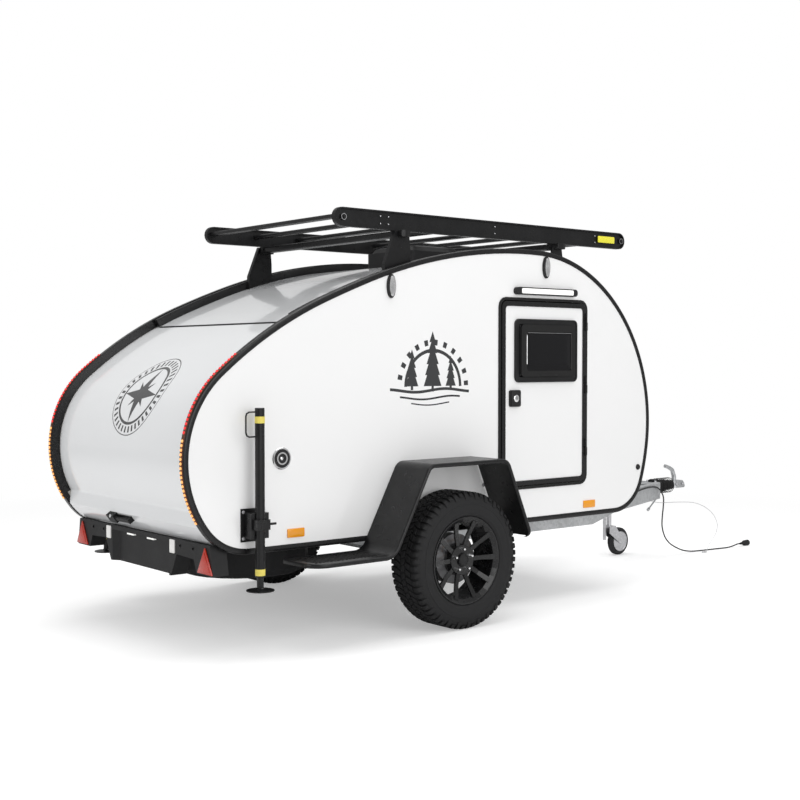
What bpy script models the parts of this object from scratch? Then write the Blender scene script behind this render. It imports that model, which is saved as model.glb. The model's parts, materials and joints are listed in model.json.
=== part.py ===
"""Teardrop trailer on one axle, with a rear hatch, two side doors and a roof rack.

Metres, +Z up, +X towards the coupling, the ground at Z = 0.
Stations along X are measured from the axle; the whole trailer hangs on one
empty that moves the middle of its length to X = 0.
Sides are -1 for the right and +1 for the left.
"""
import bmesh
import bpy
from math import atan2, ceil, cos, radians, sin, tan, tau
from mathutils import Vector

# Clearances between fixed pieces and between moving ones, and the overlap of fused ones
SEAT = 0.0003
RUN = 0.006
BITE = 0.002

# Facets
FACET_TURN = 7.5
FACET_LENGTH = 0.5
FACET_LEAST = 0.004
WHEEL_SIDES = 32
ROUND_SIDES = 24
TUBE_SIDES = 16
ROD_SIDES = 8

# Side outline of the body: its flat bottom's height and front end, then its arcs' radii
FLOOR_Z = 0.468
FLAT_FRONT_X = 1.395
FRONT_CORNER_RADIUS = 0.262
FRONT_FOOT_RADIUS = 1.164
FRONT_RADIUS = 0.983
ROOF_RADIUS = 3.220
SEAM_RADIUS = 6.130
HATCH_RADIUS = 2.270
TAIL_RADIUS = 0.536

# The outline walked from the front end of its flat bottom: radius, turn in degrees.
# A last corner and the flat bottom close the loop.
OUTLINE_ARCS = (
    (FRONT_CORNER_RADIUS, 70.8),
    (FRONT_FOOT_RADIUS, 10.7),
    (FRONT_RADIUS, 96.9),
    (ROOF_RADIUS, 21.6),
    (SEAM_RADIUS, 3.0),
    (HATCH_RADIUS, 17.0),
    (TAIL_RADIUS, 87.3),
)

# Body
HALF_WIDTH = 0.713
WALL = 0.030
SKIN = 0.025
SKIN_INSET = 0.048
FLOOR_INSET = 0.004
TRIM_WIDTH = 0.028
TRIM_PROUD = 0.004
HATCH_SEAM_X = -0.898
HATCH_FOOT_X = -1.321
FLOOR_LIP_X = 1.360
BULKHEAD_X = -0.620
BULKHEAD_THICK = 0.018
INNER_HALF = HALF_WIDTH - WALL

# Lower lip of the hatch, where its skin kicks out to the outline
LIP_TOP_Z = 0.652
LIP_Z = 0.604

# Hatch hinge
HINGE_RADIUS = 0.006
HINGE_PROUD = HINGE_RADIUS + SEAT
HINGE_BARRELS = 9
HINGE_STRAP = 0.030

# Hatch handle on the lip: a catch block at one end of a lever
HANDLE_Z = 0.585
HANDLE_END_Y = -0.020
HANDLE_BLOCK_Y = 0.130
HANDLE_BLOCK_WIDTH = 0.075
HANDLE_BLOCK_HALF = 0.022
HANDLE_HALF = 0.014
HANDLE_PLATE = 0.005
HANDLE_LEVER = 0.012
HANDLE_PROUD = 0.030
HANDLE_FOOT = 0.018

# Doors: the outer frame's edges, then widths measured inwards
DOOR_BACK_X = 0.440
DOOR_FRONT_X = 1.145
DOOR_LOW_Z = 0.657
DOOR_HIGH_Z = 1.716
DOOR_CORNER = 0.055
DOOR_FRAME_WIDTH = 0.015
DOOR_FRAME_PROUD = 0.006
DOOR_EDGE_WIDTH = 0.012
DOOR_LEAF_PROUD = DOOR_FRAME_PROUD / 2
DOOR_HINGE_RADIUS = 0.006
DOOR_HINGE_LENGTH = 0.050
DOOR_HINGE_HEIGHTS = (0.820, 1.180, 1.540)
DOOR_HINGE_X = DOOR_FRONT_X - DOOR_FRAME_WIDTH - RUN / 2
DOOR_HINGE_Y = HALF_WIDTH + DOOR_FRAME_PROUD + SEAT + DOOR_HINGE_RADIUS
LEAF_INSET = DOOR_FRAME_WIDTH + RUN
CORNER_LEAST = 0.004

# Door windows
WINDOW_BACK_X = 0.557
WINDOW_FRONT_X = 1.049
WINDOW_LOW_Z = 1.249
WINDOW_HIGH_Z = 1.599
WINDOW_CORNER = 0.030
WINDOW_FRAME_WIDTH = 0.030
WINDOW_FRAME_PROUD = 0.010
WINDOW_PANE_PROUD = 0.026
WINDOW_PANE_THICK = 0.006

# Rounded edge of a window pane, from its rim inwards: inset, share of the bulge
PANE_ROWS = (
    (0.000, 0.00),
    (0.010, 0.50),
    (0.030, 0.85),
    (0.070, 1.00),
)

# Door locks
LOCK_X = 0.557
LOCK_Z = 1.162
LOCK_WIDTH = 0.080
LOCK_HEIGHT = 0.092
LOCK_CORNER = 0.012
LOCK_PROUD = 0.014

# Awning lights
AWNING_BACK_X = 0.554
AWNING_FRONT_X = 1.039
AWNING_LOW_Z = 1.732
AWNING_HIGH_Z = 1.773
AWNING_PROUD = 0.028
AWNING_END = 0.45

# Tail light strips on the rear of the edge trims
STRIP_TOP_X = -1.238
STRIP_FOOT_Z = 0.621
STRIP_WIDTH = 0.020
STRIP_PROUD = 0.005

# Roof rails, in the corners between the roof and the side walls
RAIL_FRONT_X = 0.540
RAIL_DROP = 0.004
RAIL_HEIGHT = SKIN_INSET - RAIL_DROP
RAIL_WIDTH = 0.030
RAIL_EDGE = 0.004
RAIL_INNER = INNER_HALF - RAIL_EDGE - RAIL_WIDTH

# Roof vent: its height is from the roof's highest point
VENT_X = 0.450
VENT_HALF = 0.205
VENT_CORNER = 0.030
VENT_HEIGHT = 0.0915
VENT_ROOT = 0.080

# Lid of the vent: depth below its top, inset of its edge
VENT_ROWS = (
    (0.034, 0.000),
    (0.034, 0.016),
    (0.010, 0.030),
    (0.000, 0.050),
)

# Roof rack
RACK_REAR_X = -0.596
RACK_FRONT_X = 1.571
RACK_HALF = HALF_WIDTH - 0.086
RACK_CLEAR = 0.012
RACK_HEIGHT = 0.096
RACK_RAIL_THICK = 0.027
RACK_RIB = 0.008
RACK_WEB = 0.006
SLAT_COUNT = 8
SLAT_WIDTH = 0.046
SLAT_HEIGHT = 0.022
SLAT_DROP = 0.042
SLAT_CORNER = 0.008

# Bars that carry the rack, with plate feet that have a folded rear edge
REAR_BAR_X = -0.181
FRONT_BAR_X = 0.970
BAR_WIDTH = 0.060
BAR_HEIGHT = 0.034
BAR_CORNER = 0.008
BAR_TIP = 0.022
BAR_OVERHANG = 0.035
FOOT_PLATE = 0.006
FOOT_FOLD = 0.024
FOOT_ROOT = 0.050
FOOT_BACK_X = -0.297
FOOT_FRONT_X = -0.127
FOOT_TOP_BACK_X = -0.2275
FOOT_TOP_FRONT_X = -0.135
FOOT_BACK_RISE = 0.026
FOOT_FRONT_RISE = 0.056
CLAMP_LIP = 0.010

# Wheels
WHEEL_RADIUS = 0.352
TYRE_WIDTH = 0.215
WHEEL_FACE_Y = HALF_WIDTH + 0.248
RIM_RADIUS = 0.210
RIM_LIP_RADIUS = RIM_RADIUS + 0.015
RIM_LIP = 0.010
RIM_WALL = 0.012
SPOKES = 10
RIM_FLANGE_SET = 0.024
HUB_FACE_SET = 0.052
HUB_RADIUS = 0.080
HUB_DEPTH = 0.030
DRUM_RADIUS = 0.130
DRUM_DEPTH = 0.082
DRUM_FACE = 0.020

# Axle: a beam with a trailing arm, a spindle and a brake plate at each end
AXLE_X = 0.170
AXLE_RADIUS = 0.046
AXLE_BRACKET = 0.070
SPINDLE_RADIUS = 0.025
ARM_Y = HALF_WIDTH - 0.063
ARM_THICK = 0.035
ARM_HALF = 0.040
PLATE_THICK = 0.004

# Mudguards and steps
GUARD_TOP = 0.860
GUARD_HALF_TOP = 0.270
GUARD_BEND = 0.045
GUARD_FOOT_X = 0.450
GUARD_FOOT_Z = 0.440
GUARD_OUT = WHEEL_FACE_Y + 0.017
GUARD_THICK = 0.004
GUARD_LIP = 0.022
STEP_Z = 0.430
STEP_FRONT_X = -0.500
STEP_BEND = 0.075
STEP_TAIL_X = -0.970
STEP_CORNER = 0.090

# Chassis and drawbar arms: X, distance of the arm's middle from the centre line, bottom, top
ARM_WIDTH = 0.044
FRAME_Y = HALF_WIDTH - 0.243
FRAME_LOW = FLOOR_Z - 0.096
FRAME_TOP = FLOOR_Z + FLOOR_INSET - SEAT
SHAFT_Z = 0.4925
DRAWBAR_X = 2.600
ARM_ROWS = (
    (0.060, FRAME_Y, FRAME_LOW, FRAME_TOP),
    (1.450, FRAME_Y, FRAME_LOW, FRAME_TOP),
    (1.620, FRAME_Y - 0.060, 0.390, SHAFT_Z + 0.0125),
    (1.800, FRAME_Y - 0.120, 0.412, SHAFT_Z + 0.0345),
    (DRAWBAR_X, 0.056, 0.415, SHAFT_Z + 0.0345),
)
CROSS_MEMBERS = (0.260, 1.250)
CROSS_WIDTH = 0.050
CROSS_SET = 0.010
AXLE_Z = FRAME_LOW - 0.054

# Brake lever on the right drawbar arm
LEVER_ROOT = (2.585, -0.066, 0.425)
LEVER_TIP = (2.448, -0.100, 0.353)
LEVER_RADIUS = 0.005
LEVER_KNOB = 0.010

# Coupling: housing between the arms, flange, bellows and head
HOUSING_LENGTH = 0.160
HOUSING_HALF = 0.050
FLANGE_LENGTH = 0.020
BELLOWS_LENGTH = 0.190
BELLOWS_RADIUS = 0.052
BELLOWS_TAPER = 0.36
BELLOWS_DEPTH = 0.16
BELLOWS_FOLDS = 5
HEAD_LENGTH = 0.132
HEAD_HALF = 0.036
HEAD_LOW = 0.470
HEAD_HIGH = 0.520
CUP_SET = 0.050
CUP_RADIUS = 0.0255
HOUSING_X = DRAWBAR_X + FLANGE_LENGTH
BELLOWS_X = HOUSING_X + BELLOWS_LENGTH
NOSE_X = BELLOWS_X + HEAD_LENGTH

# Head of the coupling: share of its length, half width, bottom, top
HEAD_ROWS = (
    (0.00, 0.72, HEAD_LOW + 0.004, HEAD_HIGH - 0.004),
    (0.15, 1.00, HEAD_LOW, HEAD_HIGH),
    (0.77, 1.00, HEAD_LOW, HEAD_HIGH),
    (1.00, 0.61, HEAD_LOW + 0.004, HEAD_HIGH - 0.020),
)

# Coupling handle: X behind the nose, height above the head, corner radius, half width
HANDLE_ROWS = (
    (0.097, SEAT, 0.000, 0.017),
    (0.097, 0.030, 0.020, 0.017),
    (0.116, 0.076, 0.022, 0.015),
    (0.152, 0.094, 0.030, 0.013),
    (0.197, 0.108, 0.000, 0.011),
)
HANDLE_THICK = 0.022

# Jockey wheel
JOCKEY_X = 2.410
JOCKEY_Y = 0.220
JOCKEY_TRAIL = 0.095
JOCKEY_RADIUS = 0.096
JOCKEY_WIDTH = 0.046
JOCKEY_TUBE = 0.024
JOCKEY_STEM = 0.0175
JOCKEY_TUBE_LOW = 0.370
JOCKEY_TUBE_HIGH = 0.780
JOCKEY_TRAVEL = 0.150
FORK_TOP = 0.2115
FORK_BACK = 0.026
FORK_FRONT = 0.034
FORK_THICK = 0.004
JOCKEY_CLAMP_HALF = 0.035
JOCKEY_CLAMP_Z = (0.440, 0.522)
JOCKEY_AXLE = 0.006

# Stay beside the jockey stem, measured from the stem: X limits, half width, Z limits
STAY_X = (-0.050, -0.042)
STAY_HALF = 0.012
STAY_Z = (0.115, 0.280)

# Crank on top of the jockey tube
CRANK_CAP = 0.012
CRANK_RADIUS = 0.006
CRANK_REACH = 0.085
CRANK_GRIP = 0.060

# Rear legs
LEG_X = -1.140
LEG_Y = HALF_WIDTH + 0.069
LEG_RADIUS = 0.0225
LEG_LOW = 0.371
LEG_HIGH = 1.152
FOOT_LOW = 0.306
FOOT_RADIUS = 0.066
FOOT_STEM = 0.016
LEG_LOOP_REACH = 0.075
LEG_LOOP_ROD = 0.004

# Loop handle at the top of a leg: distance from its outer side, depth below the leg's top
LEG_LOOP_ROWS = (
    (0.018, 0.018),
    (0.005, 0.024),
    (0.000, 0.037),
    (0.000, 0.112),
    (0.005, 0.126),
    (0.018, 0.132),
)

# Leg brackets: wall plate, block and clamp collar with its bolt
BRACKET_BACK_X = -1.203
BRACKET_FRONT_X = -1.071
BRACKET_LOW_Z = 0.529
BRACKET_HIGH_Z = 0.684
BRACKET_PLATE = 0.005
BRACKET_EDGE = 0.018
COLLAR_Z = (0.590, 0.638)
COLLAR_HALF = 0.036
COLLAR_WALL = 0.010
COLLAR_BOLT = 0.006
COLLAR_BOLT_REACH = 0.044

# Rear bumper: half of its face, from the middle outwards (Y, Z)
BUMPER_X = -1.345
BUMPER_DEPTH = 0.085
BUMPER_WALL = 0.005
BUMPER_HALF = HALF_WIDTH - 0.011
BUMPER_FACE = (
    (0.315, 0.338),
    (0.370, 0.448),
    (BUMPER_HALF - 0.172, 0.442),
    (BUMPER_HALF - 0.146, 0.380),
    (BUMPER_HALF, 0.380),
    (BUMPER_HALF - 0.024, 0.520),
)

# Number plate recess in the bumper, open at its bottom
RECESS_HALF = 0.297
RECESS_DRAFT = 0.035
RECESS_DEPTH = 0.025
RECESS_TOP_Z = 0.498

# Spare wheel under the rear floor
SPARE_X = -0.750
SPARE_WIDTH = 0.205
SPARE_BORE = 0.205
SPARE_HANGER = 0.020

# Tyre of the spare wheel, one half: radius, depth below its top
SPARE_ROWS = (
    (SPARE_BORE, 0.020),
    (0.262, 0.002),
    (0.300, 0.000),
    (WHEEL_RADIUS - 0.022, 0.012),
    (WHEEL_RADIUS, 0.040),
)

# Disc of the spare wheel: radius, height above the tyre's bottom
SPARE_DISC = (
    (0.000, 0.060),
    (0.070, 0.060),
    (0.110, 0.040),
    (SPARE_BORE - 0.0005, 0.030),
    (SPARE_BORE - 0.0005, 0.110),
    (0.190, 0.110),
    (0.186, 0.060),
    (0.110, 0.075),
    (0.070, 0.090),
    (0.000, 0.090),
)

# Electric cable and breakaway wire
CABLE_RADIUS = 0.0045
CABLE_POINTS = 72
WIRE_RADIUS = 0.0018
WIRE_POINTS = 48
GLAND_LENGTH = 0.035
GLAND_RADIUS = 0.009
HOOK_LENGTH = 0.052
HOOK_WIDTH = 0.026
HOOK_ROD = 0.005

# Plug on the cable's end: radius, distance along it
PLUG_ROWS = (
    (0.000, SEAT),
    (0.007, SEAT),
    (0.010, 0.030),
    (0.020, 0.050),
    (0.021, 0.095),
    (0.000, 0.095),
)

# Electric cable, from under the body's front to its plug: X, Y, Z
CABLE_ROUTE = (
    (1.8800, -0.3500, 0.4780),
    (2.0000, -0.3058, 0.4920),
    (2.1730, -0.2424, 0.5080),
    (2.2910, -0.1992, 0.5130),
    (2.4220, -0.1512, 0.5110),
    (2.5200, -0.1160, 0.4990),
    (2.5800, -0.1020, 0.4660),
    (2.6060, -0.1020, 0.4200),
    (2.6090, -0.0980, 0.3570),
    (2.6080, -0.0910, 0.2870),
    (2.6130, -0.0850, 0.2300),
    (2.6300, -0.0800, 0.1860),
    (2.6590, -0.0750, 0.1410),
    (2.6980, -0.0700, 0.1060),
    (2.7480, -0.0650, 0.0760),
    (2.8510, -0.0600, 0.0340),
    (2.9600, -0.0530, 0.0110),
    (3.0600, -0.0580, 0.0056),
    (3.1290, -0.0670, 0.0055),
    (3.2130, -0.0770, 0.0055),
    (3.2810, -0.0870, 0.0055),
    (3.3490, -0.0950, 0.0060),
    (3.4100, -0.0990, 0.0125),
    (3.4480, -0.1000, 0.0200),
    (3.4700, -0.1000, 0.0215),
    (3.4900, -0.1000, 0.0215),
)

# Breakaway wire, from under the right drawbar arm to its hook: X, Y, Z
WIRE_ROUTE = (
    (2.4500, -0.1120, 0.4128),
    (2.5000, -0.1110, 0.4000),
    (2.5600, -0.1100, 0.3910),
    (2.6230, -0.1150, 0.3880),
    (2.7540, -0.1150, 0.3820),
    (2.8880, -0.1150, 0.3710),
    (2.9790, -0.1150, 0.3520),
    (3.0710, -0.1150, 0.3160),
    (3.1410, -0.1150, 0.2710),
    (3.1810, -0.1150, 0.2240),
    (3.1980, -0.1150, 0.1780),
    (3.1820, -0.1150, 0.1300),
    (3.1430, -0.1150, 0.0890),
    (3.1020, -0.1150, 0.0500),
    (3.0820, -0.1150, 0.0200),
    (3.0760, -0.1150, 0.0052),
)


def outline_arcs():
    """Give the outline's arcs and its flat bottom: start, end, centre or point, radius, heading."""
    arcs = [(radius, radians(turn)) for radius, turn in OUTLINE_ARCS]
    last_turn = tau - sum(turn for _, turn in arcs)
    heading = 0.0
    reach = Vector((0.0, 0.0))
    for radius, turn in arcs:
        reach += radius * unit_arc(heading, turn)
        heading += turn
    closing = unit_arc(heading, last_turn)
    last_radius = -reach.y / closing.y
    flat = -(reach.x + last_radius * closing.x)
    rows = []
    at = Vector((FLAT_FRONT_X, FLOOR_Z))
    station = 0.0
    heading = 0.0
    for radius, turn in arcs + [(last_radius, last_turn)]:
        centre = at + radius * Vector((-sin(heading), cos(heading)))
        rows.append((station, station + radius * turn, centre, radius, heading))
        at = at + radius * unit_arc(heading, turn)
        heading += turn
        station += radius * turn
    rows.append((station, station + flat, at, 0.0, 0.0))
    return rows


def unit_arc(heading, turn):
    """Give the chord of an arc of radius 1 that turns left from a heading."""
    return Vector((sin(heading + turn) - sin(heading), cos(heading) - cos(heading + turn)))


OUTLINE = outline_arcs()
OUTLINE_LENGTH = OUTLINE[-1][1]


def outline_point(station, inset):
    """Give the (X, Z) point at a distance along the outline, moved inwards by an inset."""
    station = station % OUTLINE_LENGTH
    for start, end, centre, radius, heading in OUTLINE:
        if station <= end:
            break
    if radius == 0.0:
        return Vector((centre.x + station - start, centre.y + inset))
    angle = heading + (station - start) / radius
    return centre + (radius - inset) * Vector((sin(angle), -cos(angle)))


def station_at(value, first, last, axis=0):
    """Give the station between two others where the outline has a given X, or Z with axis 1."""
    low_side = outline_point(first, 0.0)[axis] < value
    for _ in range(50):
        middle = (first + last) / 2
        if (outline_point(middle, 0.0)[axis] < value) == low_side:
            first = middle
        else:
            last = middle
    return (first + last) / 2


FRONT_STATION = OUTLINE[1][0]
TAIL_STATION = (OUTLINE[6][0] + OUTLINE[6][1]) / 2
FLAT_STATION = OUTLINE[7][1]
SEAM_STATION = station_at(HATCH_SEAM_X, FRONT_STATION, TAIL_STATION)
LIP_TOP_STATION = station_at(LIP_TOP_Z, TAIL_STATION, FLAT_STATION, axis=1)
LIP_STATION = station_at(LIP_Z, TAIL_STATION, FLAT_STATION, axis=1)
HANDLE_STATION = station_at(HANDLE_Z, TAIL_STATION, FLAT_STATION, axis=1)
HATCH_FOOT_STATION = station_at(HATCH_FOOT_X, TAIL_STATION, FLAT_STATION)
FLOOR_LIP_STATION = OUTLINE_LENGTH - (FLAT_FRONT_X - FLOOR_LIP_X)
RAIL_FRONT_STATION = station_at(RAIL_FRONT_X, FRONT_STATION, TAIL_STATION)
STRIP_TOP_STATION = station_at(STRIP_TOP_X, FRONT_STATION, TAIL_STATION)
STRIP_FOOT_STATION = station_at(STRIP_FOOT_Z, TAIL_STATION, FLAT_STATION, axis=1)


def outline_stops(first, last):
    """List the stations of the outline's facets from one station forward to another."""
    stops = [LIP_TOP_STATION, LIP_STATION]
    for start, end, _, radius, _ in OUTLINE:
        turn = (end - start) / radius if radius else 0.0
        steps = max(1, ceil(turn / radians(FACET_TURN) + radius * turn / FACET_LENGTH))
        stops += [start + (end - start) * k / steps for k in range(steps)]
    if last <= first:
        last += OUTLINE_LENGTH
    stops += [stop + OUTLINE_LENGTH for stop in stops]
    kept = [first]
    for stop in sorted(stops):
        if kept[-1] + FACET_LEAST < stop < last - FACET_LEAST:
            kept.append(stop)
    return kept + [last]


def outline_span(first, last, inset):
    """Give the outline's points from one station forward to another, moved inwards by an inset."""
    return [outline_point(stop, inset) for stop in outline_stops(first, last)]


def skin_inset(station):
    """Give the skin's distance inside the outline: small at the floor and the hatch's lip."""
    station = station % OUTLINE_LENGTH
    if station < FRONT_STATION:
        share = station / FRONT_STATION
    elif station < LIP_TOP_STATION:
        share = 1.0
    else:
        share = max(0.0, (LIP_STATION - station) / (LIP_STATION - LIP_TOP_STATION))
    return FLOOR_INSET + (SKIN_INSET - FLOOR_INSET) * share


def skin_span(first, last, depth):
    """Give points along the skin from one station forward to another, at a depth under its face."""
    return [outline_point(stop, skin_inset(stop) + depth) for stop in outline_stops(first, last)]


ROOF_TOP = max(point.y for point in outline_span(FRONT_STATION, SEAM_STATION, SKIN_INSET))
VENT_TOP = ROOF_TOP + VENT_HEIGHT
RACK_LOW = VENT_TOP + RACK_CLEAR
RACK_HIGH = RACK_LOW + RACK_HEIGHT
TAIL_X = min(point.x for point in outline_span(STRIP_TOP_STATION, STRIP_FOOT_STATION, -STRIP_PROUD))
ORIGIN_X = (NOSE_X + TAIL_X) / 2


def roof_height(x, inset=SKIN_INSET):
    """Give the height of the roof's facets above an X, at an inset from the outline."""
    row = outline_span(FRONT_STATION, SEAM_STATION - RUN / 2, inset)
    for front, back in zip(row, row[1:]):
        if back.x <= x <= front.x and front.y > OUTLINE[1][2].y:
            return back.y + (front.y - back.y) * (x - back.x) / (front.x - back.x)
    return row[-1].y


def clear_scene():
    for item in list(bpy.data.objects):
        bpy.data.objects.remove(item, do_unlink=True)


def make_material(name, colour, roughness, metallic=0.0):
    material = bpy.data.materials.new(name)
    material.use_nodes = True
    shader = material.node_tree.nodes["Principled BSDF"]
    shader.inputs["Base Color"].default_value = (*colour, 1.0)
    shader.inputs["Roughness"].default_value = roughness
    shader.inputs["Metallic"].default_value = metallic
    return material


def place(axis, first, second, along):
    """Put plane coordinates and a distance along an axis in X, Y, Z order."""
    if axis == "X":
        return Vector((along, first, second))
    if axis == "Y":
        return Vector((first, along, second))
    return Vector((first, second, along))


def prism(loop, axis, low, high):
    """Extrude one closed loop of plane points along an axis."""
    mesh = bmesh.new()
    floor = [mesh.verts.new(place(axis, a, b, low)) for a, b in loop]
    roof = [mesh.verts.new(place(axis, a, b, high)) for a, b in loop]
    mesh.faces.new(floor)
    mesh.faces.new(roof)
    for k in range(len(loop)):
        after = (k + 1) % len(loop)
        mesh.faces.new((floor[k], floor[after], roof[after], roof[k]))
    return mesh


def block(x, y, z):
    """Make a box from pairs of limits, given in any order."""
    x, y, z = sorted(x), sorted(y), sorted(z)
    return prism([(x[0], z[0]), (x[1], z[0]), (x[1], z[1]), (x[0], z[1])], "Y", y[0], y[1])


def band(outer, inner, axis, low, high, closed=False):
    """Extrude the strip between two matching rows of plane points."""
    mesh = bmesh.new()
    ribs = []
    for (a, b), (c, d) in zip(outer, inner):
        corners = ((a, b, low), (a, b, high), (c, d, high), (c, d, low))
        ribs.append([mesh.verts.new(place(axis, p, q, along)) for p, q, along in corners])
    links = list(zip(ribs, ribs[1:]))
    if closed:
        links.append((ribs[-1], ribs[0]))
    else:
        mesh.faces.new(ribs[0])
        mesh.faces.new(ribs[-1])
    for rib, after in links:
        for k in range(4):
            mesh.faces.new((rib[k], rib[(k + 1) % 4], after[(k + 1) % 4], after[k]))
    return mesh


def lathe(profile, axis, centre, sides, closed=False):
    """Turn a row of (radius, distance along the axis) points round an axis through a centre."""
    mesh = bmesh.new()
    rings = []
    for radius, along in profile:
        count = sides if radius > 1e-6 else 1
        angles = [tau * (k + 0.5) / sides for k in range(count)]
        spots = [place(axis, radius * cos(a), radius * sin(a), along) for a in angles]
        rings.append([mesh.verts.new(Vector(centre) + spot) for spot in spots])
    links = list(zip(rings, rings[1:]))
    if closed:
        links.append((rings[-1], rings[0]))
    for ring, after in links:
        for k in range(sides):
            corners = (
                ring[k % len(ring)],
                ring[(k + 1) % len(ring)],
                after[(k + 1) % len(after)],
                after[k % len(after)],
            )
            mesh.faces.new(list(dict.fromkeys(corners)))
    return mesh


def rod(start, end, radius, sides=ROD_SIDES):
    """Make a round bar between two points."""
    return sweep([start, end], radius, sides)


def sweep(path, radius, sides=ROD_SIDES):
    """Make a round bar along a path, mitred at its corners."""
    path = [Vector(point) for point in path]
    mesh = bmesh.new()
    rings = []
    side = None
    for k, point in enumerate(path):
        before = path[k] - path[max(k - 1, 0)]
        after = path[min(k + 1, len(path) - 1)] - path[k]
        along = (before.normalized() + after.normalized()).normalized()
        if side is None:
            helper = Vector((0, 0, 1)) if abs(along.z) < 0.9 else Vector((1, 0, 0))
            side = along.cross(helper).normalized()
        side = (side - along * side.dot(along)).normalized()
        up = along.cross(side)
        mitre = 1.0
        if 0 < k < len(path) - 1:
            mitre = 1 / max(0.5, along.dot(after.normalized()))
        bend = after.normalized() - before.normalized()
        ring = []
        for n in range(sides):
            angle = tau * (n + 0.5) / sides
            offset = radius * (side * cos(angle) + up * sin(angle))
            if mitre > 1.0:
                outward = bend.normalized()
                offset += outward * offset.dot(outward) * (mitre - 1)
            ring.append(mesh.verts.new(point + offset))
        rings.append(ring)
    mesh.faces.new(rings[0])
    mesh.faces.new(rings[-1])
    for ring, after in zip(rings, rings[1:]):
        for n in range(sides):
            mesh.faces.new((ring[n], ring[(n + 1) % sides], after[(n + 1) % sides], after[n]))
    return mesh


def loft(sections):
    """Join matching rings of points into one closed solid."""
    mesh = bmesh.new()
    rings = [[mesh.verts.new(point) for point in section] for section in sections]
    mesh.faces.new(rings[0])
    mesh.faces.new(rings[-1])
    for ring, after in zip(rings, rings[1:]):
        count = len(ring)
        for k in range(count):
            mesh.faces.new((ring[k], ring[(k + 1) % count], after[(k + 1) % count], after[k]))
    return mesh


def join(meshes):
    """Put the shells of several meshes in one."""
    joined = bmesh.new()
    for mesh in meshes:
        data = bpy.data.meshes.new("shell")
        bmesh.ops.recalc_face_normals(mesh, faces=mesh.faces)
        mesh.to_mesh(data)
        mesh.free()
        joined.from_mesh(data)
        bpy.data.meshes.remove(data)
    return joined


def rounded_rectangle(low_a, high_a, low_b, high_b, radius, steps=4):
    """Give a rectangle's loop with round corners."""
    loop = []
    corners = (
        (high_a - radius, high_b - radius, 0),
        (low_a + radius, high_b - radius, 90),
        (low_a + radius, low_b + radius, 180),
        (high_a - radius, low_b + radius, 270),
    )
    for a, b, turn in corners:
        for k in range(steps + 1):
            angle = radians(turn + 90 * k / steps)
            loop.append((a + radius * cos(angle), b + radius * sin(angle)))
    return loop


def round_corners(rows, steps=4):
    """Give the points and left-hand normals of a path whose corners (a, b, radius) are rounded."""
    points = []
    for k, (a, b, radius) in enumerate(rows):
        corner = Vector((a, b))
        if k == 0 or k == len(rows) - 1:
            other = Vector(rows[1][:2]) if k == 0 else Vector(rows[-2][:2])
            along = (other - corner).normalized() * (1 if k == 0 else -1)
            points.append((corner, Vector((-along.y, along.x))))
            continue
        before = (corner - Vector(rows[k - 1][:2])).normalized()
        after = (Vector(rows[k + 1][:2]) - corner).normalized()
        turn = atan2(before.x * after.y - before.y * after.x, before.dot(after))
        hand = 1 if turn > 0 else -1
        reach = radius * tan(abs(turn) / 2)
        start = corner - before * reach
        centre = start + hand * radius * Vector((-before.y, before.x))
        for n in range(steps + 1):
            angle = turn * n / steps
            normal = Vector((-before.y, before.x))
            normal = Vector((
                normal.x * cos(angle) - normal.y * sin(angle),
                normal.x * sin(angle) + normal.y * cos(angle),
            ))
            points.append((centre - hand * radius * normal, normal))
    return points


def offset(path, distance):
    """Move a rounded path's points along their normals."""
    return [point + distance * normal for point, normal in path]


def inset_loop(loop, distance):
    """Move each edge of a closed anticlockwise loop inwards."""
    moved = []
    for k, corner in enumerate(loop):
        corner = Vector(corner)
        before = (corner - Vector(loop[k - 1])).normalized()
        after = (Vector(loop[(k + 1) % len(loop)]) - corner).normalized()
        normal = Vector((-before.y - after.y, before.x + after.x)).normalized()
        moved.append(corner + normal * distance / max(0.2, normal.dot(Vector((-after.y, after.x)))))
    return moved


def add_piece(name, mesh, material, pivot=(0, 0, 0), smooth=False):
    """Make a named object from a mesh given in trailer stations, its origin on a pivot."""
    bmesh.ops.recalc_face_normals(mesh, faces=mesh.faces)
    bmesh.ops.translate(mesh, verts=mesh.verts, vec=-Vector(pivot))
    data = bpy.data.meshes.new(name)
    mesh.to_mesh(data)
    mesh.free()
    if smooth:
        data.shade_smooth()
        data.set_sharp_from_angle(angle=radians(35))
    item = bpy.data.objects.new(name, data)
    bpy.context.scene.collection.objects.link(item)
    data.materials.append(material)
    item.parent = bpy.data.objects["trailer_origin"]
    item.location = pivot
    return item


def shape(item, operation, mesh):
    """Join a tool mesh to an object, or cut it away, with an exact Boolean."""
    tool = add_piece(item.name + "_tool", mesh, item.data.materials[0])
    tool.hide_render = True
    tool.display_type = "WIRE"
    modifier = item.modifiers.new(operation.lower(), "BOOLEAN")
    modifier.operation = operation
    modifier.solver = "EXACT"
    modifier.object = tool
    return item


def add(item, *meshes):
    return shape(item, "UNION", join(meshes))


def cut(item, *meshes):
    return shape(item, "DIFFERENCE", join(meshes))


def side_name(side):
    return "right" if side < 0 else "left"


def span(side, inner, outer):
    """Give a side's Y limits, lowest first, from distances off the centre line."""
    return sorted((side * inner, side * outer))


def door_loop(inset):
    """Give the door frame's outline, moved inwards by an inset."""
    return rounded_rectangle(
        DOOR_BACK_X + inset, DOOR_FRONT_X - inset, DOOR_LOW_Z + inset, DOOR_HIGH_Z - inset,
        max(CORNER_LEAST, DOOR_CORNER - inset),
    )


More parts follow.
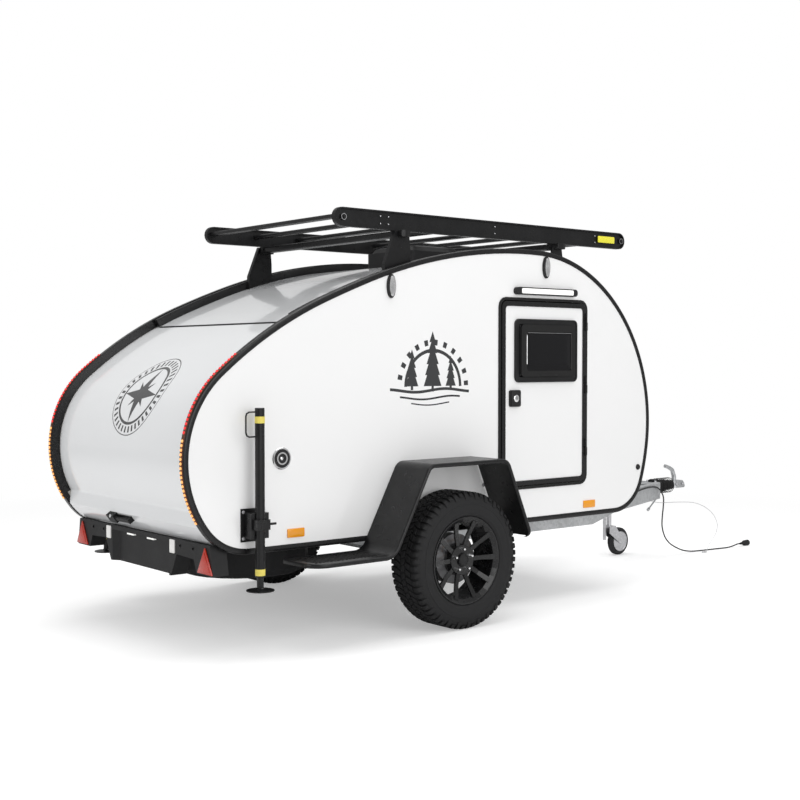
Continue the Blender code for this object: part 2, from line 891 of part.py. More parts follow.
def window_loop(inset):
    """Give the window frame's outline, moved inwards by an inset."""
    return rounded_rectangle(
        WINDOW_BACK_X + inset, WINDOW_FRONT_X - inset, WINDOW_LOW_Z + inset, WINDOW_HIGH_Z - inset,
        max(CORNER_LEAST, WINDOW_CORNER - inset),
    )


def hinge_knuckles(side, shift):
    """Give short upright barrels on the door hinge's axis, moved up by a shift."""
    return [
        rod(
            (DOOR_HINGE_X, side * DOOR_HINGE_Y, height + shift),
            (DOOR_HINGE_X, side * DOOR_HINGE_Y, height + shift + DOOR_HINGE_LENGTH),
            DOOR_HINGE_RADIUS,
        )
        for height in DOOR_HINGE_HEIGHTS
    ]


def hinge_straps(side, shift, low_x, high_x):
    """Give the flat straps that carry the barrels of a door hinge."""
    return [
        block(
            (low_x, high_x),
            (side * (HALF_WIDTH + DOOR_FRAME_PROUD - BITE), side * (DOOR_HINGE_Y - BITE)),
            (height + shift + BITE, height + shift + DOOR_HINGE_LENGTH - BITE),
        )
        for height in DOOR_HINGE_HEIGHTS
    ]


def build_side_panel(side, materials):
    loop = outline_span(0.0, OUTLINE_LENGTH - 0.0001, TRIM_WIDTH + SEAT)
    low, high = span(side, INNER_HALF, HALF_WIDTH)
    panel = add_piece("side_panel_" + side_name(side), prism(loop, "Y", low, high), materials["gelcoat"])
    return cut(panel, prism(door_loop(DOOR_FRAME_WIDTH - SEAT), "Y", low - WALL, high + WALL))


def build_edge_trim(side, materials):
    stations = (0.0, OUTLINE_LENGTH - 0.0001)
    outer = outline_span(*stations, 0.0)
    inner = outline_span(*stations, TRIM_WIDTH)
    low, high = span(side, INNER_HALF, HALF_WIDTH + TRIM_PROUD)
    mesh = band(outer, inner, "Y", low, high, closed=True)
    return add_piece("edge_trim_" + side_name(side), mesh, materials["black_trim"])


def skin_band(first, last, half):
    """Make a stretch of the body's skin between the two side walls."""
    return band(skin_span(first, last, 0.0), skin_span(first, last, SKIN), "Y", -half, half)


def build_shell(materials):
    half = INNER_HALF - SEAT
    roof_start = FLOOR_LIP_STATION + SEAT - OUTLINE_LENGTH
    roof = add_piece(
        "roof_shell", skin_band(roof_start, SEAM_STATION - RUN / 2, half), materials["roof_skin"],
    )
    hatch_barrels(roof, False)
    add_piece(
        "floor_pan", skin_band(HATCH_FOOT_STATION + RUN / 2, FLOOR_LIP_STATION, half),
        materials["underbody"],
    )
    depth = SKIN_INSET + SKIN + SEAT
    front, back = BULKHEAD_X + BULKHEAD_THICK, BULKHEAD_X
    low = FLOOR_Z + FLOOR_INSET + SKIN + SEAT
    wall = [
        (back, low), (front, low), (front, roof_height(front, depth)), (back, roof_height(back, depth)),
    ]
    add_piece("bulkhead", prism(wall, "Y", -half, half), materials["plywood"])


def hatch_hinge_point():
    """Give the (X, Z) point of the hatch hinge's axis."""
    return outline_point(SEAM_STATION, SKIN_INSET - HINGE_PROUD)


def hatch_barrels(item, moving):
    """Add every other barrel of the hatch hinge to a piece, with the straps that carry them."""
    point = hatch_hinge_point()
    half = RAIL_INNER - SEAT
    length = 2 * half / HINGE_BARRELS
    first, last = SEAM_STATION - HINGE_STRAP, SEAM_STATION
    if moving:
        first, last = SEAM_STATION, SEAM_STATION + HINGE_STRAP
    outer = outline_span(first, last, SKIN_INSET - HINGE_PROUD + BITE)
    inner = outline_span(first, last, SKIN_INSET + BITE)
    straps = []
    barrels = []
    for k in range(moving, HINGE_BARRELS, 2):
        low = -half + length * k + SEAT
        high = -half + length * (k + 1) - SEAT
        straps.append(band(outer, inner, "Y", low, high))
        barrels.append(rod((point.x, low, point.y), (point.x, high, point.y), HINGE_RADIUS))
    add(item, *straps)
    add(item, *barrels)


def build_hatch(materials):
    pivot = hatch_hinge_point()
    pivot = (pivot.x, 0.0, pivot.y)
    mesh = skin_band(SEAM_STATION + RUN / 2, HATCH_FOOT_STATION - RUN / 2, INNER_HALF - RUN)
    hatch = add_piece("hatch", mesh, materials["hatch_skin"], pivot)
    hatch_barrels(hatch, True)
    build_hatch_handle(pivot, materials)


def handle_band(half, low_rise, high_rise, low_y, high_y):
    """Make a part of the hatch handle between two heights above the hatch's lip."""
    first, last = HANDLE_STATION - half, HANDLE_STATION + half
    return band(
        skin_span(first, last, -high_rise), skin_span(first, last, -low_rise), "Y", low_y, high_y,
    )


def build_hatch_handle(pivot, materials):
    """Build a lever with a finger gap under it, from a foot at one end to a block at the other."""
    block_end = HANDLE_BLOCK_Y + HANDLE_BLOCK_WIDTH
    plate = handle_band(HANDLE_HALF, SEAT, HANDLE_PLATE, HANDLE_END_Y, block_end)
    handle = add_piece("hatch_handle", plate, materials["black_plastic"], pivot)
    add(handle, handle_band(HANDLE_BLOCK_HALF, SEAT, HANDLE_PROUD, HANDLE_BLOCK_Y, block_end))
    foot_rise = (HANDLE_PLATE / 2, HANDLE_PROUD - BITE)
    add(handle, handle_band(HANDLE_HALF - BITE, *foot_rise, HANDLE_END_Y, HANDLE_END_Y + HANDLE_FOOT))
    lever_rise = (HANDLE_PROUD - BITE - HANDLE_LEVER, HANDLE_PROUD - 2 * BITE)
    lever_y = (HANDLE_END_Y + BITE, HANDLE_BLOCK_Y + BITE)
    add(handle, handle_band(HANDLE_HALF - 2 * BITE, *lever_rise, *lever_y))


def build_door(side, materials):
    name = side_name(side)
    low, high = span(side, HALF_WIDTH + SEAT, HALF_WIDTH + DOOR_FRAME_PROUD)
    frame = add_piece(
        "door_frame_" + name,
        band(door_loop(0.0), door_loop(DOOR_FRAME_WIDTH), "Y", low, high, closed=True),
        materials["black_rubber"],
    )
    add(frame, *hinge_straps(side, 0.0, DOOR_HINGE_X, DOOR_FRONT_X - BITE))
    add(frame, *hinge_knuckles(side, 0.0))

    pivot = (DOOR_HINGE_X, side * DOOR_HINGE_Y, DOOR_LOW_Z)
    edge_inset = LEAF_INSET + DOOR_EDGE_WIDTH
    low, high = span(side, INNER_HALF, HALF_WIDTH + DOOR_FRAME_PROUD)
    edge = add_piece(
        "door_edge_" + name,
        band(door_loop(LEAF_INSET), door_loop(edge_inset), "Y", low, high, closed=True),
        materials["black_trim"], pivot,
    )
    shift = DOOR_HINGE_LENGTH + SEAT
    add(edge, *hinge_straps(side, shift, DOOR_FRONT_X - edge_inset + BITE, DOOR_HINGE_X))
    add(edge, *hinge_knuckles(side, shift))

    low, high = span(side, INNER_HALF, HALF_WIDTH + DOOR_LEAF_PROUD)
    leaf = add_piece(
        "door_panel_" + name, prism(door_loop(edge_inset + SEAT), "Y", low, high),
        materials["gelcoat"], pivot,
    )
    cut(leaf, prism(window_loop(WINDOW_FRAME_WIDTH / 2 - SEAT), "Y", low - WALL, high + WALL))
    build_window(side, pivot, materials)
    build_lock(side, pivot, materials)


def build_window(side, pivot, materials):
    name = side_name(side)
    face = HALF_WIDTH + DOOR_LEAF_PROUD + SEAT
    low, high = span(side, face, face + WINDOW_FRAME_PROUD)
    frame = add_piece(
        "door_window_frame_" + name,
        band(window_loop(0.0), window_loop(WINDOW_FRAME_WIDTH), "Y", low, high, closed=True),
        materials["black_plastic"], pivot,
    )
    low, high = span(side, INNER_HALF, face + BITE)
    sleeve = window_loop(WINDOW_FRAME_WIDTH / 2)
    add(frame, band(sleeve, window_loop(WINDOW_FRAME_WIDTH), "Y", low, high, closed=True))
    build_pane(name, side, face, pivot, materials)


def build_pane(name, side, face, pivot, materials):
    """Build a window pane that bulges outwards behind a rounded edge."""
    back = face - WINDOW_PANE_THICK
    rows = [(inset, rise, face) for inset, rise in reversed(PANE_ROWS)]
    rows += [(inset, rise, back) for inset, rise in PANE_ROWS]
    rings = []
    for inset, rise, start in rows:
        loop = window_loop(WINDOW_FRAME_WIDTH + SEAT + inset)
        rings.append([place("Y", a, b, side * (start + WINDOW_PANE_PROUD * rise)) for a, b in loop])
    add_piece("door_window_pane_" + name, loft(rings), materials["tinted_acrylic"], pivot, smooth=True)


def build_lock(side, pivot, materials):
    face = HALF_WIDTH + DOOR_LEAF_PROUD + SEAT
    low, high = span(side, face, face + LOCK_PROUD)
    half, rise = LOCK_WIDTH / 2, LOCK_HEIGHT / 2
    loop = rounded_rectangle(LOCK_X - half, LOCK_X + half, LOCK_Z - rise, LOCK_Z + rise, LOCK_CORNER, 3)
    add_piece("door_lock_" + side_name(side), prism(loop, "Y", low, high), materials["black_plastic"], pivot)


def build_awning_light(side, materials):
    low, high = span(side, HALF_WIDTH + SEAT, HALF_WIDTH + AWNING_PROUD)
    radius = AWNING_END * (AWNING_HIGH_Z - AWNING_LOW_Z)
    loop = rounded_rectangle(AWNING_BACK_X, AWNING_FRONT_X, AWNING_LOW_Z, AWNING_HIGH_Z, radius, 3)
    add_piece("awning_light_" + side_name(side), prism(loop, "Y", low, high), materials["lamp_housing"])


def build_light_strip(side, materials):
    outer = outline_span(STRIP_TOP_STATION, STRIP_FOOT_STATION, -STRIP_PROUD)
    inner = outline_span(STRIP_TOP_STATION, STRIP_FOOT_STATION, -SEAT)
    low, high = span(side, HALF_WIDTH - STRIP_WIDTH, HALF_WIDTH)
    mesh = band(outer, inner, "Y", low, high)
    return add_piece("light_strip_" + side_name(side), mesh, materials["red_lens"])


def build_roof_rail(side, materials):
    first, last = RAIL_FRONT_STATION, SEAM_STATION - RUN
    outer = outline_span(first, last, SKIN_INSET - RAIL_HEIGHT)
    inner = outline_span(first, last, SKIN_INSET - SEAT)
    low, high = span(side, RAIL_INNER, RAIL_INNER + RAIL_WIDTH)
    add_piece("roof_rail_" + side_name(side), band(outer, inner, "Y", low, high), materials["black_metal"])


def roof_tool():
    """Make the solid under the roof skin, to cut pieces to the roof's curve."""
    loop = outline_span(FRONT_STATION, TAIL_STATION, SKIN_INSET - SEAT)
    return prism(loop, "Y", -HALF_WIDTH, HALF_WIDTH)


def body_tool():
    """Make the solid inside the body's outline, to cut pieces that meet it from below."""
    loop = outline_span(0.0, OUTLINE_LENGTH - 0.0001, -SEAT)
    reach = HALF_WIDTH + TRIM_PROUD + SEAT
    return prism(loop, "Y", -reach, reach)


def build_vent(materials):
    rows = [(ROOF_TOP - VENT_ROOT, 0.0)] + [(VENT_TOP - drop, inset) for drop, inset in VENT_ROWS]
    rings = []
    for height, inset in rows:
        half = VENT_HALF - inset
        loop = rounded_rectangle(VENT_X - half, VENT_X + half, -half, half, VENT_CORNER, 3)
        rings.append([place("Z", a, b, height) for a, b in loop])
    vent = add_piece("roof_vent", loft(rings), materials["black_plastic"])
    return cut(vent, roof_tool())


def rack_loop(inset):
    """Give the outline of a rack rail with fully round ends, moved inwards by an inset."""
    radius = RACK_HEIGHT / 2 - inset - SEAT
    return rounded_rectangle(
        RACK_REAR_X + inset, RACK_FRONT_X - inset, RACK_LOW + inset, RACK_HIGH - inset, radius, 5,
    )


def build_rack(materials):
    web_out = RACK_HALF - (RACK_RAIL_THICK - RACK_WEB) / 2
    rails = []
    recesses = []
    for side in (-1, 1):
        rails.append(prism(rack_loop(0.0), "Y", *span(side, RACK_HALF - RACK_RAIL_THICK, RACK_HALF)))
        outer = span(side, web_out, RACK_HALF + BITE)
        inner = span(side, RACK_HALF - RACK_RAIL_THICK - BITE, web_out - RACK_WEB)
        recesses += [prism(rack_loop(RACK_RIB), "Y", *outer), prism(rack_loop(RACK_RIB), "Y", *inner)]
    tray = add_piece("rack_tray", join(rails), materials["black_metal"])
    cut(tray, *recesses)
    first = RACK_REAR_X + RACK_HEIGHT / 2
    last = RACK_FRONT_X - RACK_HEIGHT / 2
    reach = web_out - RACK_WEB / 2
    middle = RACK_HIGH - SLAT_DROP
    low, high = middle - SLAT_HEIGHT / 2, middle + SLAT_HEIGHT / 2
    slats = []
    for k in range(SLAT_COUNT):
        x = first + (last - first) * k / (SLAT_COUNT - 1)
        loop = rounded_rectangle(x - SLAT_WIDTH / 2, x + SLAT_WIDTH / 2, low, high, SLAT_CORNER, 2)
        slats.append(prism(loop, "Y", -reach, reach))
    add(tray, *slats)
    build_rack_bar("rear", REAR_BAR_X, materials)
    build_rack_bar("front", FRONT_BAR_X, materials)


def rear_foot(top):
    """Give the rear foot plate's back edge, going up, and the rest of its outline."""
    back, front = roof_height(FOOT_BACK_X), roof_height(FOOT_FRONT_X)
    back_knee = roof_height(FOOT_BACK_X, 0.0) + FOOT_BACK_RISE
    front_knee = roof_height(FOOT_FRONT_X, 0.0) + FOOT_FRONT_RISE
    edge = [(FOOT_BACK_X, back - FOOT_ROOT), (FOOT_BACK_X, back_knee), (FOOT_TOP_BACK_X, top)]
    rest = [(FOOT_TOP_FRONT_X, top), (FOOT_FRONT_X, front_knee), (FOOT_FRONT_X, front - FOOT_ROOT)]
    return edge, rest


def front_foot(top):
    """Give the front foot plate's back edge, going up, and the rest of its outline."""
    x = FRONT_BAR_X
    root = min(roof_height(x - BAR_WIDTH), roof_height(x + BAR_WIDTH)) - FOOT_ROOT
    edge = [(x - BAR_WIDTH, root), (x - BAR_WIDTH / 2 + BITE, top)]
    rest = [(x + BAR_WIDTH / 2 - BITE, top), (x + BAR_WIDTH, root)]
    return edge, rest


def build_rack_bar(name, x, materials):
    high = RACK_LOW - SEAT
    low = high - BAR_HEIGHT
    foot_outer = RAIL_INNER - SEAT
    reach = foot_outer + BAR_OVERHANG
    loop = rounded_rectangle(x - BAR_WIDTH / 2, x + BAR_WIDTH / 2, low, high, BAR_CORNER, 2)
    bar = add_piece("rack_bar_" + name, prism(loop, "Y", -reach, reach), materials["black_metal"])
    plan = rounded_rectangle(x - BAR_WIDTH, x + BAR_WIDTH, -reach, reach, BAR_WIDTH / 2 + BAR_TIP)
    shape(bar, "INTERSECT", prism(plan, "Z", low - BITE, high + BITE))
    edge, rest = rear_foot(high - BITE) if name == "rear" else front_foot(high - BITE)
    folded = [(a + FOOT_PLATE, b) for a, b in edge]
    plates = []
    folds = []
    clamps = []
    clamp_x = (x - BAR_WIDTH / 2 - CLAMP_LIP, x + BAR_WIDTH / 2 + CLAMP_LIP)
    for side in (-1, 1):
        plates.append(prism(edge + rest, "Y", *span(side, foot_outer - FOOT_PLATE, foot_outer - SEAT)))
        folds.append(band(edge, folded, "Y", *span(side, foot_outer - FOOT_FOLD, foot_outer - BITE)))
        clamp_y = span(side, RACK_HALF - RACK_RAIL_THICK, RACK_HALF)
        clamps.append(block(clamp_x, clamp_y, (low - CLAMP_LIP / 2, high - SEAT)))
    add(bar, *plates)
    add(bar, *folds)
    add(bar, *clamps)
    cut(bar, roof_tool())


def build_mudguard(side, materials):
    rows = (
        (GUARD_FOOT_X, GUARD_FOOT_Z, 0.0),
        (GUARD_HALF_TOP, GUARD_TOP, GUARD_BEND),
        (-GUARD_HALF_TOP, GUARD_TOP, GUARD_BEND),
        (STEP_FRONT_X, STEP_Z, STEP_BEND),
        (STEP_TAIL_X, STEP_Z, 0.0),
    )
    path = round_corners(rows)
    inner_y = HALF_WIDTH + TRIM_PROUD + SEAT
    guard = add_piece(
        "mudguard_" + side_name(side),
        band(offset(path, 0.0), offset(path, GUARD_THICK), "Y", *span(side, inner_y, GUARD_OUT)),
        materials["black_metal"],
    )
    lip = span(side, GUARD_OUT - GUARD_THICK, GUARD_OUT)
    add(guard, band(offset(path, BITE / 4), offset(path, GUARD_LIP), "Y", *lip))

    corner = (
        (STEP_TAIL_X + 2 * STEP_CORNER, GUARD_OUT, 0.0),
        (STEP_TAIL_X, GUARD_OUT, STEP_CORNER),
        (STEP_TAIL_X, inner_y + GUARD_LIP, 0.0),
    )
    turn = round_corners(corner, 6)
    arc = offset(turn[1:-1], 0.0)
    out, back = GUARD_OUT + BITE, STEP_TAIL_X - BITE
    beyond = [(back, arc[-1].y), (back, out), (arc[0].x, out)]
    waste = [(a, side * b) for a, b in [*arc[1:-1], *beyond]]
    cut(guard, prism(waste, "Z", STEP_Z - 2 * GUARD_LIP, STEP_Z + GUARD_LIP))
    outer = [(a, side * b) for a, b in offset(turn, SEAT)]
    inner = [(a, side * b) for a, b in offset(turn, GUARD_THICK + SEAT)]
    add(guard, band(outer, inner, "Z", STEP_Z - GUARD_LIP + SEAT, STEP_Z - GUARD_THICK / 2))


def build_wheel(side, materials):
    name = side_name(side)
    middle = side * (WHEEL_FACE_Y - TYRE_WIDTH / 2)
    pivot = (0.0, middle, WHEEL_RADIUS)
    half = TYRE_WIDTH / 2
    seat = half - RIM_FLANGE_SET
    lip = RIM_LIP_RADIUS + SEAT
    bead = RIM_RADIUS + SEAT
    shoulder = WHEEL_RADIUS - 0.022
    tyre_rows = [
        (lip, seat), (lip, seat + 0.012), (0.285, half), (shoulder, half - 0.010),
        (WHEEL_RADIUS - 0.003, half - 0.030), (WHEEL_RADIUS, 0.020),
    ]
    tyre_rows += [(radius, -along) for radius, along in reversed(tyre_rows)]
    tyre_rows += [(bead, -seat), (bead, seat)]
    add_piece(
        "tyre_" + name, lathe(tyre_rows, "Y", pivot, WHEEL_SIDES, closed=True),
        materials["tyre"], pivot, smooth=True,
    )
    build_rim(name, side, pivot, materials)
    drum_face = half - HUB_FACE_SET - HUB_DEPTH - SEAT
    drum_rows = [
        (0.0, drum_face), (HUB_RADIUS - 0.002, drum_face), (HUB_RADIUS + 0.004, drum_face - 0.014),
        (DRUM_RADIUS, drum_face - 0.022), (DRUM_RADIUS, drum_face - DRUM_DEPTH),
        (SPINDLE_RADIUS + SEAT, drum_face - DRUM_DEPTH), (SPINDLE_RADIUS + SEAT, drum_face - DRUM_FACE),
        (0.0, drum_face - DRUM_FACE),
    ]
    add_piece(
        "brake_drum_" + name, lathe([(r, side * a) for r, a in drum_rows], "Y", pivot, ROUND_SIDES),
        materials["cast_drum"], pivot, smooth=True,
    )


def build_rim(name, side, pivot, materials):
    """Build a rim: a flanged barrel, tapered spokes and a hub."""
    half = TYRE_WIDTH / 2
    seat = half - RIM_FLANGE_SET
    flange = seat + SEAT
    edge = seat + RIM_LIP
    lip_inner = RIM_LIP_RADIUS - RIM_WALL / 2
    bore = RIM_RADIUS - RIM_WALL
    rows = [
        (RIM_LIP_RADIUS, edge), (RIM_LIP_RADIUS, flange), (RIM_RADIUS, flange), (RIM_RADIUS, -flange),
        (RIM_LIP_RADIUS, -flange), (RIM_LIP_RADIUS, -edge), (lip_inner, -edge),
        (bore, RIM_WALL - seat), (bore, seat - RIM_WALL / 2), (lip_inner, edge),
    ]
    rim = add_piece(
        "rim_" + name, lathe([(r, side * a) for r, a in rows], "Y", pivot, WHEEL_SIDES, closed=True),
        materials["black_alloy"], pivot, smooth=True,
    )
    face = half - HUB_FACE_SET
    spokes = [build_spoke(tau * k / SPOKES, side, face, half) for k in range(SPOKES)]
    for spoke in spokes:
        bmesh.ops.translate(spoke, verts=spoke.verts, vec=Vector(pivot))
    add(rim, *spokes)
    hub_rows = [
        (0.0, face + 0.014), (0.034, face + 0.014), (0.038, face + 0.004), (HUB_RADIUS - 0.004, face + 0.002),
        (HUB_RADIUS, face - 0.006), (HUB_RADIUS, face - HUB_DEPTH), (0.0, face - HUB_DEPTH),
    ]
    add(rim, lathe([(r, side * a) for r, a in hub_rows], "Y", pivot, ROUND_SIDES))


def build_spoke(angle, side, face, half):
    """Make one tapered spoke about the wheel's own centre."""
    rows = (
        (0.056, 0.0125, face - 0.004, 0.018),
        (0.130, 0.0110, face + 0.006, 0.016),
        (RIM_RADIUS - 0.006, 0.0140, half - 0.022, 0.016),
    )
    sections = []
    for radius, width, front, depth in rows:
        back = front - depth
        corners = ((-width, front), (width, front), (width * 0.7, back), (-width * 0.7, back))
        sections.append([
            Vector((
                radius * cos(angle) - across * sin(angle),
                side * along,
                radius * sin(angle) + across * cos(angle),
            ))
            for across, along in corners
        ])
    return loft(sections)


def build_axle(materials):
    axle = add_piece(
        "axle_beam", rod((AXLE_X, -ARM_Y, AXLE_Z), (AXLE_X, ARM_Y, AXLE_Z), AXLE_RADIUS, ROD_SIDES),
        materials["galvanised"],
    )
    arms = []
    spindles = []
    plates = []
    brackets = []
    spindle_end = WHEEL_FACE_Y - HUB_FACE_SET - HUB_DEPTH - DRUM_FACE - 3 * SEAT
    drum_back = WHEEL_FACE_Y - HUB_FACE_SET - HUB_DEPTH - SEAT - DRUM_DEPTH
    bracket_z = (AXLE_Z, FRAME_LOW - SEAT)
    for side in (-1, 1):
        arms.append(trailing_arm(side))
        start = (0.0, side * ARM_Y, WHEEL_RADIUS)
        spindles.append(rod(start, (0.0, side * spindle_end, WHEEL_RADIUS), SPINDLE_RADIUS, TUBE_SIDES))
        low, high = span(side, drum_back - BITE - PLATE_THICK, drum_back - BITE)
        rows = [(0.0, low), (DRUM_RADIUS, low), (DRUM_RADIUS, high), (0.0, high)]
        plates.append(lathe(rows, "Y", (0.0, 0.0, WHEEL_RADIUS), ROUND_SIDES))
        bracket_y = span(side, FRAME_Y - 0.030, FRAME_Y + 0.030)
        brackets.append(block((AXLE_X - AXLE_BRACKET, AXLE_X + AXLE_BRACKET), bracket_y, bracket_z))
    add(axle, *arms)
    add(axle, *spindles)
    add(axle, *plates)
    add(axle, *brackets)


def trailing_arm(side):
    """Make the flat arm from the axle beam's end to the wheel's centre."""
    path = round_corners(((AXLE_X, AXLE_Z, 0.0), (0.0, WHEEL_RADIUS, 0.0)))
    along = Vector((-AXLE_X, WHEEL_RADIUS - AXLE_Z)).normalized() * ARM_HALF
    rows = [offset(path, ARM_HALF), offset(path, -ARM_HALF)]
    outer, inner = [[first - along, last + along] for first, last in rows]
    return band(outer, inner, "Y", *span(side, ARM_Y - ARM_THICK / 2, ARM_Y + ARM_THICK / 2))


def build_chassis(materials):
    arms = []
    for side in (-1, 1):
        sections = []
        for x, y, low, high in ARM_ROWS:
            inner, outer = side * (y - ARM_WIDTH / 2), side * (y + ARM_WIDTH / 2)
            corners = ((inner, low), (outer, low), (outer, high), (inner, high))
            sections.append([Vector((x, across, up)) for across, up in corners])
        arms.append(loft(sections))
    chassis = add_piece("chassis_frame", join(arms), materials["galvanised"])
    crosses = []
    cross_z = (FRAME_LOW + CROSS_SET, FRAME_TOP - CROSS_SET)
    for x in CROSS_MEMBERS:
        crosses.append(block((x - CROSS_WIDTH / 2, x + CROSS_WIDTH / 2), (-FRAME_Y, FRAME_Y), cross_z))
    crosses.append(block(
        (DRAWBAR_X - HOUSING_LENGTH, DRAWBAR_X - 2 * BITE), (-HOUSING_HALF, HOUSING_HALF),
        (ARM_ROWS[-1][2] + 2 * BITE, ARM_ROWS[-1][3] - 2 * BITE),
    ))
    add(chassis, *crosses)
    start = Vector(CABLE_ROUTE[0])
    along = (Vector(CABLE_ROUTE[1]) - start).normalized()
    add(chassis, rod(start - GLAND_LENGTH * along, start - SEAT * along, GLAND_RADIUS))
    root, tip = Vector(LEVER_ROOT), Vector(LEVER_TIP)
    knob = (root - tip).normalized() * LEVER_KNOB
    add(chassis, rod(root, tip, LEVER_RADIUS))
    add(chassis, rod(tip + knob, tip - knob, LEVER_KNOB))


def build_coupling(materials):
    back = DRAWBAR_X + SEAT
    flange = [(0.0, back), (BELLOWS_RADIUS, back), (BELLOWS_RADIUS, HOUSING_X), (0.0, HOUSING_X)]
    centre = (0.0, 0.0, SHAFT_Z)
    add_piece(
        "coupling_flange", lathe(flange, "X", centre, TUBE_SIDES), materials["black_metal"], smooth=True,
    )
    start = HOUSING_X + SEAT
    rows = [(0.0, start)]
    for k in range(2 * BELLOWS_FOLDS + 1):
        share = k / (2 * BELLOWS_FOLDS)
        dip = BELLOWS_DEPTH if k % 2 else 0.0
        radius = BELLOWS_RADIUS * (1 - BELLOWS_TAPER * share) * (1 - dip)
        rows.append((radius, start + (BELLOWS_X - start) * share))
    rows.append((0.0, BELLOWS_X))
    add_piece(
        "coupling_bellows", lathe(rows, "X", centre, TUBE_SIDES), materials["black_rubber"], smooth=True,
    )
    build_coupling_head(materials)


def build_coupling_head(materials):
    """Build the cast head with the cup for the tow ball, and its lever."""
    back = BELLOWS_X + SEAT
    sections = []
    for share, width, low, high in HEAD_ROWS:
        x = back + (NOSE_X - back) * share
        half = HEAD_HALF * width
        corners = ((-half, low), (half, low), (half * 0.7, high), (-half * 0.7, high))
        sections.append([Vector((x, across, up)) for across, up in corners])
    head = add_piece("coupling_head", loft(sections), materials["galvanised"])
    low = HEAD_LOW - 0.010
    cup = [
        (0.0, HEAD_LOW + 0.032), (0.7 * CUP_RADIUS, HEAD_LOW + 0.028), (CUP_RADIUS, HEAD_LOW + 0.016),
        (CUP_RADIUS, low), (0.0, low),
    ]
    cut(head, lathe(cup, "Z", (NOSE_X - CUP_SET, 0.0, 0.0), TUBE_SIDES))

    path = round_corners([(NOSE_X - a, HEAD_HIGH + b, radius) for a, b, radius, _ in HANDLE_ROWS])
    widths = [HANDLE_ROWS[0][3]]
    for _, _, _, width in HANDLE_ROWS[1:-1]:
        widths += 5 * [width]
    widths.append(HANDLE_ROWS[-1][3])
    sections = []
    for (point, normal), width in zip(path, widths):
        edge = HANDLE_THICK / 2
        sides = ((edge, width * 0.6), (edge * 0.4, width), (-edge * 0.4, width), (-edge, width * 0.6))
        ring = list(sides) + [(across, -half) for across, half in reversed(sides)]
        spots = [(point + normal * across, half) for across, half in ring]
        sections.append([Vector((spot.x, half, spot.y)) for spot, half in spots])
    add_piece("coupling_handle", loft(sections), materials["galvanised"], smooth=True)


def build_jockey(materials):
    centre = (JOCKEY_X, JOCKEY_Y, 0.0)
    bore = JOCKEY_STEM + 2 * SEAT
    top = JOCKEY_TUBE_HIGH + CRANK_CAP
    wall = [
        (0.0, JOCKEY_TUBE_HIGH), (bore, JOCKEY_TUBE_HIGH), (bore, JOCKEY_TUBE_LOW),
        (JOCKEY_TUBE, JOCKEY_TUBE_LOW), (JOCKEY_TUBE, top), (0.0, top),
    ]
    tube = add_piece(
        "jockey_tube", lathe(wall, "Z", centre, TUBE_SIDES), materials["galvanised"], smooth=True,
    )
    reach = JOCKEY_Y - JOCKEY_STEM - BITE
    plan = [(JOCKEY_X + JOCKEY_CLAMP_HALF, reach), (JOCKEY_X - JOCKEY_CLAMP_HALF, reach)]
    plan += [(x, arm_middle(x) + ARM_WIDTH / 2 + SEAT) for x, _ in reversed(plan)]
    add(tube, prism(plan, "Z", *JOCKEY_CLAMP_Z))
    end = JOCKEY_X + CRANK_REACH
    crank = [
        (JOCKEY_X, JOCKEY_Y, top - BITE), (JOCKEY_X, JOCKEY_Y, top + CRANK_CAP),
        (end, JOCKEY_Y, top + CRANK_CAP), (end, JOCKEY_Y, top + CRANK_CAP + CRANK_GRIP),
    ]
    add(tube, sweep(crank, CRANK_RADIUS))

    pivot = (JOCKEY_X, JOCKEY_Y, FORK_TOP)
    low = FORK_TOP + 2 * SEAT
    high = JOCKEY_TUBE_HIGH - JOCKEY_TRAVEL - 2 * RUN
    stem = [(0.0, low), (JOCKEY_STEM, low), (JOCKEY_STEM, high), (0.0, high)]
    add_piece("jockey_stem", lathe(stem, "Z", centre, TUBE_SIDES), materials["zinc"], pivot, smooth=True)
    build_fork(pivot, materials)
    build_jockey_wheel(materials)


def build_fork(pivot, materials):
    hub_x = JOCKEY_X + JOCKEY_TRAIL
    inner = JOCKEY_WIDTH / 2 + RUN
    plates = []
    for side in (-1, 1):
        loop = [
            (JOCKEY_X - FORK_BACK, FORK_TOP), (JOCKEY_X - FORK_BACK, FORK_TOP - 0.050),
            (hub_x - 0.006, JOCKEY_RADIUS - 0.018), (hub_x + 0.016, JOCKEY_RADIUS - 0.010),
            (hub_x + 0.016, JOCKEY_RADIUS + 0.014), (JOCKEY_X + FORK_FRONT, FORK_TOP),
        ]
        low, high = span(side, inner, inner + FORK_THICK)
        plates.append(prism(loop, "Y", JOCKEY_Y + low, JOCKEY_Y + high))
    half = inner + FORK_THICK / 2
    crown_z = (FORK_TOP - FORK_THICK, FORK_TOP)
    crown = block(
        (JOCKEY_X - FORK_BACK, JOCKEY_X + FORK_FRONT), (JOCKEY_Y - half, JOCKEY_Y + half), crown_z,
    )
    fork = add_piece("jockey_fork", crown, materials["zinc"], pivot)
    add(fork, *plates)
    stay_y = (JOCKEY_Y - STAY_HALF, JOCKEY_Y + STAY_HALF)
    stay_x = (JOCKEY_X + STAY_X[0], JOCKEY_X + STAY_X[1])
    add(fork, block((stay_x[0] + BITE, JOCKEY_X), stay_y, crown_z))
    add(fork, block(stay_x, stay_y, STAY_Z))


